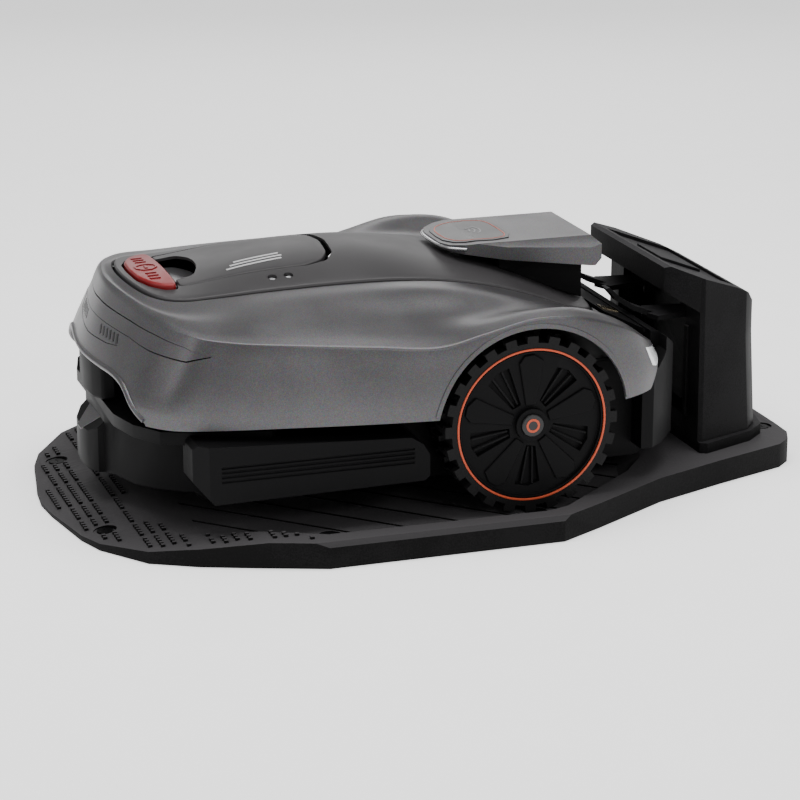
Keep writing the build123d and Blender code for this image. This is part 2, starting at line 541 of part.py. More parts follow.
wheel = fillet(wheel.edges().filter_by(GeomType.CIRCLE), 5)
caster_wheel_left = wheel - rod_y(axle_x, axle_z, -CASTER_Y - FORK_HALF, -CASTER_Y + FORK_HALF,
                                  CASTER_AXLE_R + RUN_GAP)

# ---------------------------------------------------------------- cutting unit
CARRIER_LOW = 104.0
CARRIER_TOP = 112.0
MOTOR_SHAFT_R = 5.0
SCREW_X = BLADE_X + 50     # lift screw, behind the blade motor
lift_carrier = rod_z(BLADE_X, 0, CARRIER_LOW, CARRIER_TOP, 42)
lift_carrier = lift_carrier + block(BLADE_X - 12, BLADE_X + 12, -66, 66, CARRIER_LOW, CARRIER_TOP)
lift_carrier = lift_carrier + rod_z(SCREW_X, 0, CARRIER_LOW, 150, 5)
lift_carrier = lift_carrier + block(BLADE_X + 30, BLADE_X + 56, -8, 8, CARRIER_LOW, CARRIER_TOP)
lift_carrier = lift_carrier - rod_z(BLADE_X, 0, 90, 120, MOTOR_R)
for y in (GUIDE_Y, -GUIDE_Y):
    lift_carrier = lift_carrier - rod_z(BLADE_X, y, 90, 130, GUIDE_R + RUN_GAP)
blade_motor = rod_z(BLADE_X, 0, 82, 124, MOTOR_R)
blade_motor = blade_motor - rod_z(BLADE_X, 0, 70, 100, MOTOR_SHAFT_R + RUN_GAP)
lift_actuator = block(BLADE_X + 36, BLADE_X + 66, -16, 16, 116, 154)
lift_actuator = lift_actuator - rod_z(SCREW_X, 0, 100, 160, 5 + RUN_GAP)
lift_actuator = lift_actuator + block(BLADE_X + 66, BLADE_X + 76, -14, 14, 120, 158)

PIVOT_R = 76.0             # blade pivots, from the disc centre
PIVOT_PIN_R = 2.5
DISC_LOW = 52.0
DISC_TOP = 55.0
PIVOTS = []
for angle in (60, 180, 300):
    turn = math.radians(angle)
    PIVOTS.append((BLADE_X + PIVOT_R * math.cos(turn), PIVOT_R * math.sin(turn), angle))
cutting_disc = rod_z(BLADE_X, 0, DISC_LOW, DISC_TOP, DISC_R) + rod_z(BLADE_X, 0, DISC_TOP, 62, 16)
cutting_disc = cutting_disc + rod_z(BLADE_X, 0, DISC_TOP, 98, MOTOR_SHAFT_R)
for x, y, _ in PIVOTS:
    cutting_disc = cutting_disc + rod_z(x, y, 49.2, 53, PIVOT_PIN_R) + rod_z(x, y, 48.4, 49.4, 4.5)


def blade(x, y, angle):
    """Swinging razor blade on its pivot, one corner cut off each side."""
    plate = block(-8, 32, -8, 8, 49.9, 51.3) - rod_z(0, 0, 40, 60, PIVOT_PIN_R + RUN_GAP)
    tip = Pos(32, 0, 50.6) * Rot(0, 0, 45) * Box(8, 8, 3)
    return Pos(x, y, 0) * Rot(0, 0, angle) * (plate - tip)


# ---------------------------------------------------------------- electrics
battery_pack = block(98, 212, -64, 64, 50.2, 108)
battery_pack = fillet(battery_pack.edges().filter_by(Axis.Z), 8)
main_board = block(-22, 38, -58, 58, 130, 131.6) + block(-12, 18, -30, 20, 131.6, 140)
main_board = main_board + block(22, 32, 20, 50, 131.6, 144)
for x, foot_z in ((-16, 72), (32, 50)):
    for y in (52, -52):
        main_board = main_board + rod_z(x, y, foot_z, 130, 4)

# ---------------------------------------------------------------- dock plate
PLATE_HALF = [(-DOCK_HALF, 0), (-426, 40), (-420, 75), (-412, 124), (-400, 160), (-361, 215),
              (-313, 242), (-255, 265), (-187, 290), (74, 290), (125, 262), (221, 205), (310, 169),
              (400, 136), (418, 119), (428, 96), (DOCK_HALF, 60), (DOCK_HALF, 0)]
FLOOR_FRONT = -332.0       # the ramp meets the parking floor here
FLOOR_HALF = [(FLOOR_FRONT, 0), (FLOOR_FRONT, 141), (-318, 190), (-178, 261), (64, 264), (88, 255),
              (132, 218), (188, 166), (204, 120), (196, 0)]
FLOOR_TOP_HALF = [(-432, 0), (-432, 150), (-330, 192), (-180, 262.5), (65, 266), (90, 257.5),
                  (136, 219), (198, 168), (235, 120), (227, 0)]
RAMP = [(-430, DOCK_LIP), (FLOOR_FRONT, DOCK_FLOOR), (-246, DOCK_TOP)]
PLATE_SIDE = [(-430, 0)] + RAMP + [(430, DOCK_TOP), (430, 0)]
dock_plate = plan(mirrored(PLATE_HALF), 0, DOCK_TOP) & side(PLATE_SIDE, -300, 300)
rim_bevel = front([(-291, DOCK_TOP - 6), (-284, DOCK_TOP + 1), (-300, DOCK_TOP + 1)], -430, 430)
dock_plate = dock_plate - rim_bevel - flip(rim_bevel)
floor_low = [(x, y, DOCK_FLOOR) for x, y in FLOOR_HALF]
floor_high = [(x, y, DOCK_TOP + 0.5) for x, y in FLOOR_TOP_HALF]
parking_hollow = skin([floor_low, floor_high]) - block(-500, FLOOR_FRONT, -300, 300, 0, 40)
dock_plate = dock_plate - parking_hollow

GROOVE_W = 4.4
GROOVE_DEPTH = 4.0
GROOVE_PITCH = 59.0
GROOVES = 14
GROOVE_START = -560.0
parking_area = plan([(x + 3, y * 0.985) for x, y in mirrored(FLOOR_HALF)], 0, 40)
parking_area = parking_area & block(-296, 250, -300, 300, 0, 40)
grooves = []
for i in range(GROOVES):
    apex = GROOVE_START + i * GROOVE_PITCH
    for sign in (1, -1):
        strip = block(0, 420, -GROOVE_W / 2, GROOVE_W / 2, DOCK_FLOOR - GROOVE_DEPTH, DOCK_FLOOR + 1)
        grooves.append(Pos(apex, 0, 0) * Rot(0, 0, sign * 45) * strip)
groove_set = grooves[0] + grooves[1:]
dock_plate = dock_plate - (groove_set & parking_area)
dock_plate = dock_plate - block(-300, 250, -120, 120, -1, 8)


def deck_height(x):
    """Height of the plate under a peg."""
    if x < -300:
        return track(RAMP, x)
    return DOCK_TOP if x > 300 else DOCK_FLOOR


PEG_SHANK_R = 4.0
PEG_SEAT_R = 12.5
PEG_SEAT_DEPTH = 2.5
for px, py in PEG_POINTS:
    deck = deck_height(px)
    for y in (py, -py):
        dock_plate = dock_plate - rod_z(px, y, -1, 60, PEG_SHANK_R)
        dock_plate = dock_plate - rod_z(px, y, deck - PEG_SEAT_DEPTH, 60, PEG_SEAT_R)

NUB = 4.2                  # square grip nubs on the ramp and side rims
NUB_RISE = 2.8
NUB_ROWS = 20
NUB_ROW_PITCH = 12.0
NUB_PITCH = 7.5
NUB_FRONT = -416.0
CASTER_SWEEP = CASTER_TRAIL + CASTER_R + NUB
ROLL_CLEAR = 0.5           # nubs stay this far below a rolling caster


def nub_fits(i, j, x, y, base):
    """True where the plate has room for a nub clear of its edge, floor, pegs and caster path."""
    edge = track(PLATE_HALF[:9], x - 8) - 8
    inner = track(FLOOR_HALF[1:4], x) + 6 if x > FLOOR_FRONT - 4 else 0
    on_peg = min(math.hypot(x - px, abs(y) - py) for px, py in PEG_POINTS) < 18
    rolled_over = abs(abs(y) - CASTER_Y) < CASTER_SWEEP and base + NUB_RISE + ROLL_CLEAR > REST_Z
    in_pattern = abs(j) % 6 != 5 and i % 5 != 4
    return in_pattern and inner <= abs(y) <= edge and not on_peg and not rolled_over


nubs = []
for i in range(NUB_ROWS):
    x = NUB_FRONT + i * NUB_ROW_PITCH
    base = track(RAMP, x)
    back_edge = track(RAMP, x + NUB / 2)
    for j in range(-38, 39):
        y = j * NUB_PITCH
        if nub_fits(i, j, x, y, back_edge):
            nubs.append(block(x - NUB / 2, x + NUB / 2, y - NUB / 2, y + NUB / 2,
                              base - 1.5, base + NUB_RISE))
dock_plate = dock_plate + nubs

# ---------------------------------------------------------------- dock tower
TOWER_FOOT = [(298, 0), (298, 138), (306, 142), (372, 114), (396, 92), (404, 60), (404, 0)]
TOWER_WALL = [(298, 0), (298, 131), (303, 134), (366, 107), (384, 84), (390, 60), (390, 0)]
HOOD_HALF = [(262, 0), (262, 108), (270, 114), (298, 128), (366, 100), (384, 70), (384, 0)]
HOOD_SIDE = [(262, 213), (262, 240), (268, 242), (352, 210), (372, 200), (386, 184), (396, 120),
             (404, 46), (404, DOCK_TOP), (298, DOCK_TOP), (298, 190)]
TOWER_FLARE = 6.0          # the back of the tower foot stands out this far
tower_lines = []
for z, spread in ((DOCK_TOP, 1.05), (42, 1.0), (150, 0.985), (245, 0.97)):
    flare = TOWER_FLARE if z < 60 else 0
    tower_lines.append([(x + flare if x > 350 else x, y * spread, z) for x, y in TOWER_WALL])
tower_shaft = skin(tower_lines)
hood_prism = plan(mirrored(HOOD_HALF), 188, 245)
tower_outer = (tower_shaft + hood_prism) & side(HOOD_SIDE, -160, 160)
tower_foot = plan(mirrored(TOWER_FOOT), DOCK_TOP, 40)
tower_room_plan = mirrored([(302, 0), (302, 122), (366, 100), (382, 78), (386, 58), (386, 0)])
ROOM_SIDE = [(302, 34), (302, 200), (290, 210), (290, 222), (348, 204), (368, 194), (380, 180),
             (386, 120), (386, 34)]
HOOD_ROOM = mirrored([(270, 0), (270, 104), (360, 96), (360, 0)])
tower_room = plan(tower_room_plan, 30, 205) + plan(HOOD_ROOM, 190, 240)
tower_room = tower_room & side(ROOM_SIDE, -140, 140)
front_gap = block(280, 330, -90, 90, 44, 212)
HOOD_TOP_CUT = [(276, 250), (276, 234.9), (356, 204.5), (360, 250)]
hood_recess = side(HOOD_TOP_CUT, -92, 92)
dock_tower = tower_outer + tower_foot - tower_room - front_gap - hood_recess
for sign in (1, -1):
    dock_tower = dock_tower - Pos(352, sign * 128, 40) * Rot(0, 0, -sign * 23) * Box(60, 7, 8)
HATCH_HALF = 50.0          # service hatch in the back of the tower
HATCH_LOW = 66.0
HATCH_HIGH = 150.0
HATCH_FIT = 0.2
dock_tower = dock_tower - block(380, 410, -HATCH_HALF, HATCH_HALF, HATCH_LOW, HATCH_HIGH)
tower_back = block(381, 385.8, -HATCH_HALF + HATCH_FIT, HATCH_HALF - HATCH_FIT,
                   HATCH_LOW + HATCH_FIT, HATCH_HIGH - HATCH_FIT)
GLAND_R = 8.0
GLAND_BORE = 3.2
gland_axis = Pos(393, 0, 52) * Rot(0, 90, 0)
cable_gland = gland_axis * Cylinder(GLAND_R, 18) - gland_axis * Pos(0, 0, 7) * Cylinder(GLAND_BORE, 20)
dock_tower = dock_tower - gland_axis * Cylinder(GLAND_R, 40)
indicator_panel = side([(290, 229.6), (290, 233), (340, 214), (340, 210.6)], -34, 34)
column_guides = Compound(children=[block(294, 298, y - 4, y + 4, 62, 168) for y in (98, -98)])

ARM_PIN_X = 314.0
ARM_PIN_Z = 178.0
ARM_PIN_R = 2.5
ARM_LOW = ARM_PIN_Z - 3
ARM_HIGH = ARM_PIN_Z + 3
ARM_SIDE = [(205, 213), (209, 214), (222, 202), (240, 190.5), (264, ARM_HIGH), (316, ARM_HIGH),
            (316, ARM_LOW), (262, ARM_LOW), (238, 185), (219, 197)]
ARM_PLATE = [(262, -ARM_Y - 24), (318, -ARM_Y - 14), (318, -ARM_Y + 14), (262, -ARM_Y + 24),
             (252, -ARM_Y)]
arm_bore = rod_y(ARM_PIN_X, ARM_PIN_Z, -ARM_Y - 20, -ARM_Y + 20, ARM_PIN_R + RUN_GAP)
charge_arm_left = side(ARM_SIDE, -ARM_Y - PAD_HALF, -ARM_Y + PAD_HALF)
charge_arm_left = charge_arm_left + plan(ARM_PLATE, ARM_LOW, ARM_HIGH)
charge_arm_left = charge_arm_left + rod_y(ARM_PIN_X, ARM_PIN_Z, -ARM_Y - 15, -ARM_Y + 15, 6)
charge_arm_left = charge_arm_left - arm_bore
BRACKET_FACE = 322.0       # front of the arm bracket
arm_bracket = block(BRACKET_FACE, BRACKET_FACE + 6, -100, 100, 60, 196)
for y in (-ARM_Y - 19.8, -ARM_Y + 16, ARM_Y - 20, ARM_Y + 16):
    arm_bracket = arm_bracket + block(308, BRACKET_FACE, y, y + 3.8, 168, 186)
for y in (-ARM_Y, ARM_Y):
    arm_bracket = arm_bracket + rod_y(ARM_PIN_X, ARM_PIN_Z, y - 18, y + 18, ARM_PIN_R)
dock_board = block(332, 334, -60, 60, 60, 130) + block(334, 346, -30, 30, 80, 110)
dock_board = dock_board + block(328.2, 332, -8, 8, 100, 170)
pegs = []
for px, py in PEG_POINTS:
    seat = deck_height(px) - PEG_SEAT_DEPTH
    for y in (py, -py):
        peg = rod_z(px, y, seat, seat + 2, 9) + rod_z(px, y, 0.2, seat, PEG_SHANK_R - 0.2)
        pegs.append(peg - Pos(px, y, seat + 2) * Box(2, 9, 1.2))
ground_pegs = Compound(children=[peg.solids()[0] for peg in pegs])

# ---------------------------------------------------------------- write out
nodes = {
    "dock_plate": dock_plate, "dock_tower": dock_tower, "tower_back": tower_back,
    "indicator_panel": indicator_panel, "column_guides": column_guides, "arm_bracket": arm_bracket,
    "dock_board": dock_board, "cable_gland": cable_gland,
    "charge_arm_left": charge_arm_left, "charge_arm_right": flip(charge_arm_left),
    "ground_pegs": ground_pegs,
    "chassis_tub": chassis_tub, "chassis_cover": chassis_cover, "float_bushings": float_bushings,
    "rear_housing": rear_housing, "front_bumper": front_bumper, "nose_block": nose_block,
    "side_guard_left": side_guard_left, "side_guard_right": side_guard_right,
    "battery_pack": battery_pack, "main_board": main_board, "lift_actuator": lift_actuator,
    "lift_carrier": lift_carrier, "blade_motor": blade_motor, "cutting_disc": cutting_disc,
    "body_shell": body_shell, "light_bar": light_bar, "light_panel": light_panel,
    "tail_lens_left": tail_lens_left, "tail_lens_right": tail_lens_right,
    "spine_cover": spine_cover, "rear_deck": rear_deck, "charge_contact_pads": charge_contact_pads,
    "control_panel": control_panel, "power_button": power_button, "stop_button": stop_button,
    "hatch_lid": hatch_lid, "pod_shell": pod_shell, "pod_label": pod_label, "pod_base": pod_base,
    "antenna_board": antenna_board,
    "caster_fork_left": caster_fork_left, "caster_fork_right": flip(caster_fork_left),
    "caster_wheel_left": caster_wheel_left, "caster_wheel_right": flip(caster_wheel_left),
}
for name, shape in left_wheel_nodes.items():
    nodes[name + "_left"] = shape
    nodes[name + "_right"] = flip(shape)
for index, pivot in enumerate(PIVOTS):
    nodes["blade_" + "abc"[index]] = blade(*pivot)

os.makedirs("parts", exist_ok=True)
for name, shape in nodes.items():
    export_step(shape, "parts/" + name + ".step")
print(len(nodes), "parts written")
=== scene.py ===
import json
import math

import bmesh
import bpy
import numpy as np
from mathutils import Matrix, Vector
from mathutils.bvhtree import BVHTree


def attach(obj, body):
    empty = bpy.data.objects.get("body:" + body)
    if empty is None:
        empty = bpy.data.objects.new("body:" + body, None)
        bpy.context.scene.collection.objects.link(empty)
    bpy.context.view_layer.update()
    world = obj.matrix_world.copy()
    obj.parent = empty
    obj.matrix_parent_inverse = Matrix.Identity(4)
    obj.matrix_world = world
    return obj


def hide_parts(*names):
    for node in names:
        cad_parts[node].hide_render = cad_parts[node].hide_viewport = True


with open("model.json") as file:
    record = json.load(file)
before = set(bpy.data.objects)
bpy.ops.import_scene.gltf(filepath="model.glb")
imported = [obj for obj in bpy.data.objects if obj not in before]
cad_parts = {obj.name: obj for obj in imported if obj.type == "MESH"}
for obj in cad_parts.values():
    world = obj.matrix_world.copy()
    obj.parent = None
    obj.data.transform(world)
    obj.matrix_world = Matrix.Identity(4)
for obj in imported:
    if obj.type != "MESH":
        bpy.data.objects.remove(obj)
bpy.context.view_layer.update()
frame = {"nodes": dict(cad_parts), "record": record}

MM = 0.001
RECORD = frame["record"]
BODY_OF = {n: b for b, ns in RECORD["behaviour"]["bodies"].items() for n in ns}
SLOT_OF = {s["node"]: s["material_slot"] for s in RECORD["subparts"]}


# ------------------------------------------------------------------ materials
def add_node(tree, kind, **settings):
    made = tree.nodes.new(kind)
    for key, value in settings.items():
        setattr(made, key, value)
    return made


def noise(tree, coords, scale, detail=2.0, rough=0.5):
    made = add_node(tree, "ShaderNodeTexNoise")
    made.inputs["Scale"].default_value = scale
    made.inputs["Detail"].default_value = detail
    made.inputs["Roughness"].default_value = rough
    tree.links.new(coords, made.inputs["Vector"])
    return made.outputs["Fac"]


def spread(tree, source, low, high, start=0.3, end=0.7):
    made = add_node(tree, "ShaderNodeMapRange")
    made.inputs["From Min"].default_value = start
    made.inputs["From Max"].default_value = end
    made.inputs["To Min"].default_value = low
    made.inputs["To Max"].default_value = high
    tree.links.new(source, made.inputs["Value"])
    return made.outputs["Result"]


def plastic(name, colour, rough, grain=1500, depth=0.04, cells=0, mottle=0.06, flake=0.0,
            rough_spread=0.05, metallic=0.0, coat=0.0, coat_rough=0.2, specular=0.5, painted_top_light=0.0):
    """Moulded or painted surface: fine grain, slow colour drift, optional sparkle, and an optional
    painted lighter top that stands in for light from above.
    """
    mat = bpy.data.materials.new(name)
    mat.use_nodes = True
    tree = mat.node_tree
    shader = tree.nodes["Principled BSDF"]
    coords = add_node(tree, "ShaderNodeTexCoord").outputs["Object"]
    slow = noise(tree, coords, 14, 3)
    fine = noise(tree, coords, grain, 2, 0.6)
    ramp = add_node(tree, "ShaderNodeValToRGB")
    dark = [c * (1 - mottle) for c in colour]
    light = [min(1, c * (1 + mottle)) for c in colour]
    ramp.color_ramp.elements[0].position = 0.35
    ramp.color_ramp.elements[1].position = 0.65
    ramp.color_ramp.elements[0].color = (*dark, 1)
    ramp.color_ramp.elements[1].color = (*light, 1)
    mixed = add_node(tree, "ShaderNodeMath", operation="ADD")
    tree.links.new(spread(tree, slow, 0.0, 0.5), mixed.inputs[0])
    tree.links.new(spread(tree, fine, 0.0, 0.5), mixed.inputs[1])
    tree.links.new(mixed.outputs[0], ramp.inputs["Fac"])
    tone = ramp.outputs["Color"]
    if flake:
        spots = add_node(tree, "ShaderNodeTexVoronoi")
        spots.inputs["Scale"].default_value = 1400
        tree.links.new(coords, spots.inputs["Vector"])
        glint = add_node(tree, "ShaderNodeMix", data_type="RGBA", blend_type="MULTIPLY")
        glint.inputs[0].default_value = flake
        tree.links.new(tone, glint.inputs[6])
        tree.links.new(spots.outputs["Color"], glint.inputs[7])
        brighten = add_node(tree, "ShaderNodeMix", data_type="RGBA", blend_type="MIX")
        brighten.inputs[0].default_value = 0.5
        tree.links.new(tone, brighten.inputs[6])
        tree.links.new(glint.outputs[2], brighten.inputs[7])
        tone = brighten.outputs[2]
    # painted highlight: faces turned upwards are mixed towards a lighter colour, standing in for light
    # from above
    if painted_top_light:
        facing = add_node(tree, "ShaderNodeSeparateXYZ")
        tree.links.new(add_node(tree, "ShaderNodeNewGeometry").outputs["Normal"], facing.inputs[0])
        painted_top_mix = add_node(tree, "ShaderNodeMix", data_type="RGBA", blend_type="MIX")
        tree.links.new(spread(tree, facing.outputs["Z"], 0.0, 1.0, 0.35, 0.95), painted_top_mix.inputs[0])
        tree.links.new(tone, painted_top_mix.inputs[6])
        painted_top_mix.inputs[7].default_value = (*[min(1, c * (1 + painted_top_light)) for c in colour], 1)
        tone = painted_top_mix.outputs[2]
    tree.links.new(tone, shader.inputs["Base Color"])
    tree.links.new(spread(tree, slow, rough - rough_spread, rough + rough_spread),
                   shader.inputs["Roughness"])
    shader.inputs["Metallic"].default_value = metallic
    shader.inputs["Coat Weight"].default_value = coat
    shader.inputs["Coat Roughness"].default_value = coat_rough
    shader.inputs["Specular IOR Level"].default_value = specular
    height = fine
    if cells:
        pebble = add_node(tree, "ShaderNodeTexVoronoi", feature="SMOOTH_F1")
        pebble.inputs["Scale"].default_value = cells
        tree.links.new(coords, pebble.inputs["Vector"])
        height = pebble.outputs["Distance"]
    bump = add_node(tree, "ShaderNodeBump")
    bump.inputs["Strength"].default_value = 1.0
    bump.inputs["Distance"].default_value = depth * MM
    tree.links.new(height, bump.inputs["Height"])
    tree.links.new(bump.outputs["Normal"], shader.inputs["Normal"])
    return mat


LOOKS = {
    "shell_silver": plastic("silver paint", (0.118, 0.114, 0.119), 0.36, grain=2600, depth=0.01,
                            metallic=0.62, flake=0.95, mottle=0.1, specular=0.3),
    "spine_grey": plastic("warm grey cover", (0.038, 0.036, 0.0375), 0.42, grain=2200, depth=0.012,
                          metallic=0.15, mottle=0.08, specular=0.3),
    "black_plastic": plastic("black moulded plastic", (0.0045, 0.0044, 0.0047), 0.48, grain=1500,
                             depth=0.02, cells=900, mottle=0.12, specular=0.07),
    # charcoal plastic: up-facing faces painted lighter, as painted light from above
    "charcoal_plastic": plastic("charcoal speckled plastic", (0.0068, 0.0066, 0.007), 0.6, grain=700,
                                depth=0.14, cells=430, mottle=0.35, specular=0.1, painted_top_light=2.2),
    # dock plastic: up-facing faces painted much lighter, as painted light from above
    "dock_plastic": plastic("dock plastic", (0.005, 0.0048, 0.005), 0.62, grain=620, depth=0.18,
                            cells=400, mottle=0.4, specular=0.07, painted_top_light=12.0),
    "gloss_black": plastic("gloss black", (0.012, 0.0118, 0.0123), 0.3, grain=2500, depth=0.004,
                           mottle=0.1, specular=0.35),
    "red_plastic": plastic("red button", (0.2, 0.004, 0.006), 0.34, grain=2200, depth=0.01,
                           mottle=0.06, specular=0.4),
    "orange_ring": plastic("orange red trim", (0.52, 0.075, 0.028), 0.4, grain=2200, depth=0.006,
                           specular=0.3),
    "tyre_rubber": plastic("tyre rubber", (0.0075, 0.0073, 0.0075), 0.62, grain=900, depth=0.06,
                           cells=700, mottle=0.2, specular=0.14),
    "rubber": plastic("soft rubber", (0.012, 0.012, 0.012), 0.7, grain=1100, depth=0.05, mottle=0.15),
    "steel": plastic("ground steel", (0.5, 0.5, 0.51), 0.3, grain=1800, depth=0.01, metallic=1.0),
    "brass_contact": plastic("brass contact", (0.6, 0.5, 0.33), 0.25, grain=1600, depth=0.01,
                             metallic=1.0),
    "lens_clear": plastic("white lens", (0.78, 0.79, 0.8), 0.12, grain=2000, depth=0.004, coat=0.6,
                          coat_rough=0.04),
    "visor_grey": plastic("grey light panel", (0.1, 0.098, 0.102), 0.3, grain=2200, depth=0.006,
                          metallic=0.5, flake=0.6, coat=0.2),
    "board_green": plastic("circuit board", (0.02, 0.11, 0.05), 0.4, grain=900, depth=0.03),
    "battery_grey": plastic("battery case", (0.1, 0.1, 0.11), 0.55, grain=900, depth=0.05),
    "motor_metal": plastic("cast motor body", (0.4, 0.4, 0.41), 0.38, grain=700, depth=0.04,
                           metallic=0.9),
}
CHROME = plastic("satin chrome trim", (0.5, 0.5, 0.51), 0.22, grain=2200, depth=0.004, metallic=1.0)
MARK_WHITE = plastic("pale print", (0.5, 0.5, 0.5), 0.45, grain=1800, depth=0.006)
MARK_GREY = plastic("grey print", (0.16, 0.16, 0.165), 0.4, grain=1800, depth=0.006)


# ------------------------------------------------------------------ mesh helpers
def link(mesh, name, look):
    piece = bpy.data.objects.new(name, mesh)
    bpy.context.scene.collection.objects.link(piece)
    piece.data.materials.clear()
    piece.data.materials.append(look)
    return piece


def mesh_from(name, points, faces, look, unit=MM):
    mesh = bpy.data.meshes.new(name)
    mesh.from_pydata([tuple(c * unit for c in p) for p in points], [], faces)
    piece = link(mesh, name, look)
    tidy(piece, 1e-6)
    return piece


def tidy(piece, distance):
    bm = bmesh.new()
    bm.from_mesh(piece.data)
    bmesh.ops.remove_doubles(bm, verts=bm.verts, dist=distance)
    bmesh.ops.dissolve_degenerate(bm, edges=bm.edges, dist=1e-7)
    bmesh.ops.recalc_face_normals(bm, faces=bm.faces)
    bm.to_mesh(piece.data)
    bm.free()


def settle(piece, angle=32):
    """Apply the piece's modifiers and shade it smooth up to the given edge angle."""
    for polygon in piece.data.polygons:
        polygon.use_smooth = True
    piece.data.set_sharp_from_angle(angle=math.radians(angle))
    if piece.modifiers:
        graph = bpy.context.evaluated_depsgraph_get()
        mesh = bpy.data.meshes.new_from_object(piece.evaluated_get(graph))
        old = piece.data
        piece.modifiers.clear()
        piece.data = mesh
        bpy.data.meshes.remove(old)


def bevel(piece, width, segments=2, angle=28):
    made = piece.modifiers.new("rounding", "BEVEL")
    made.width = width * MM
    made.segments = segments
    made.limit_method = "ANGLE"
    made.angle_limit = math.radians(angle)
    made.use_clamp_overlap = True
    made.harden_normals = True


def cut(piece, tool, operation="DIFFERENCE"):
    made = piece.modifiers.new("cut", "BOOLEAN")
    made.operation = operation
    made.solver = "EXACT"
    made.object = tool
    graph = bpy.context.evaluated_depsgraph_get()
    mesh = bpy.data.meshes.new_from_object(piece.evaluated_get(graph))
    old = piece.data
    piece.modifiers.clear()
    piece.data = mesh
    bpy.data.meshes.remove(old)
    bpy.data.objects.remove(tool)


def own(piece, body, slot, *nodes):
    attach(piece, body)
    if nodes:
        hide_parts(*nodes)
    return piece


def prism(name, outline, plane, low, high, look=None):
    """Closed prism in mm; plane is 'xy', 'xz' or 'yz', extruded along the third axis."""
    look = look or LOOKS["black_plastic"]
    count = len(outline)

    def place(a, b, c):
        return {"xy": (a, b, c), "xz": (a, c, b), "yz": (c, a, b)}[plane]

    points = [place(a, b, low) for a, b in outline] + [place(a, b, high) for a, b in outline]
    faces = [tuple(range(count)), tuple(range(2 * count - 1, count - 1, -1))]
    for i in range(count):
        j = (i + 1) % count
        faces.append((i, j, count + j, count + i))
    return mesh_from(name, points, faces, look)


def tube(name, radius, y0, y1, x, z, look=None, sides=96):
    ring = [(x + radius * math.cos(2 * math.pi * k / sides),
             z + radius * math.sin(2 * math.pi * k / sides)) for k in range(sides)]
    return prism(name, ring, "xz", y0, y1, look)


def lathe_y(name, profile, x, z, look, sides=120):
    """Revolve (radius, y) points about the line through (x, z) along Y."""
    points, faces = [], []
    count = len(profile)
    for k in range(sides):
        turn = 2 * math.pi * k / sides
        for radius, y in profile:
            points.append((x + radius * math.cos(turn), y, z + radius * math.sin(turn)))
    for k in range(sides):
        a, b = k * count, ((k + 1) % sides) * count
        for i in range(count):
            j = (i + 1) % count
            faces.append((a + i, a + j, b + j, b + i))
    return mesh_from(name, points, faces, look)


def disc_outline(x, y, radius, sides=32):
    turns = [2 * math.pi * k / sides for k in range(sides)]
    return [(x + radius * math.cos(t), y + radius * math.sin(t)) for t in turns]


def rect(a0, a1, b0, b1):
    return [(a0, b0), (a1, b0), (a1, b1), (a0, b1)]


def sweep(name, path, radius, look, sides=12):
    """Round bead in mm along an open path, closed at both ends."""
    pts = [np.array(p, float) for p in path]
    points, faces = [], []
    for i, here in enumerate(pts):
        run = pts[min(i + 1, len(pts) - 1)] - pts[max(i - 1, 0)]
        run /= np.linalg.norm(run)
        across = np.cross(run, SWEEP_REFERENCE)
        across /= np.linalg.norm(across)
        over = np.cross(across, run)
        for k in range(sides):
            turn = 2 * math.pi * k / sides
            points.append(tuple(here + (across * math.cos(turn) + over * math.sin(turn)) * radius))
    for i in range(len(pts) - 1):
        for k in range(sides):
            j = (k + 1) % sides
            a, b = i * sides, (i + 1) * sides
            faces.append((a + k, a + j, b + j, b + k))
    last = (len(pts) - 1) * sides
    faces.append(tuple(range(sides)))
    faces.append(tuple(last + k for k in range(sides)))
    return mesh_from(name, points, faces, look)


SWEEP_REFERENCE = np.array([0.31, 0.17, 0.94])
SURFACES = {}


def surface_point(target, axis, a, b):
    """Point in mm where a ray along the axis meets the target piece."""
    if target.name not in SURFACES:
        mesh = target.data
        SURFACES[target.name] = BVHTree.FromPolygons(
            [v.co for v in mesh.vertices], [tuple(p.vertices) for p in mesh.polygons])
    origin, run = {
        "down": ((a, b, 400), (0, 0, -1)),
        "back": ((-600, a, b), (1, 0, 0)),
        "left": ((a, -500, b), (0, 1, 0)),
        "right": ((a, 500, b), (0, -1, 0)),
    }[axis]
    hit, normal, _, _ = SURFACES[target.name].ray_cast(Vector(origin) * MM, Vector(run))
    if hit is None:
        return None
    if normal.dot(Vector(run)) > 0:
        normal = -normal
    return np.array(hit) / MM, np.array(normal)


def strip(name, target, path, width, axis, lift, look, closed=False, sink=0.5):
    """Thin raised line that follows the surface of the target; path and width in mm."""
    count = len(path)
    rows = []
    for i, here in enumerate(path):
        before = path[(i - 1) % count] if closed else path[max(i - 1, 0)]
        after = path[(i + 1) % count] if closed else path[min(i + 1, count - 1)]
        run = np.array(after, float) - np.array(before, float)
        run /= max(np.linalg.norm(run), 1e-9)
        off = np.array([-run[1], run[0]]) * width / 2
        ends = [surface_point(target, axis, *(np.array(here) + off)),
                surface_point(target, axis, *(np.array(here) - off))]
        if None in ends:
            continue
        (p, n), (q, m) = ends
        rows.append([p + n * lift, q + m * lift, q - m * sink, p - n * sink])
    points = [tuple(p) for row in rows for p in row]
    faces = []
    spans = len(rows) if closed else len(rows) - 1
    for i in range(spans):
        a, b = i * 4, (i + 1) % len(rows) * 4
        for k in range(4):
            j = (k + 1) % 4
            faces.append((a + k, a + j, b + j, b + k))
    if not closed:
        last = (len(rows) - 1) * 4
        faces.append((0, 1, 2, 3))
        faces.append((last, last + 1, last + 2, last + 3))
    return mesh_from(name, points, faces, look)


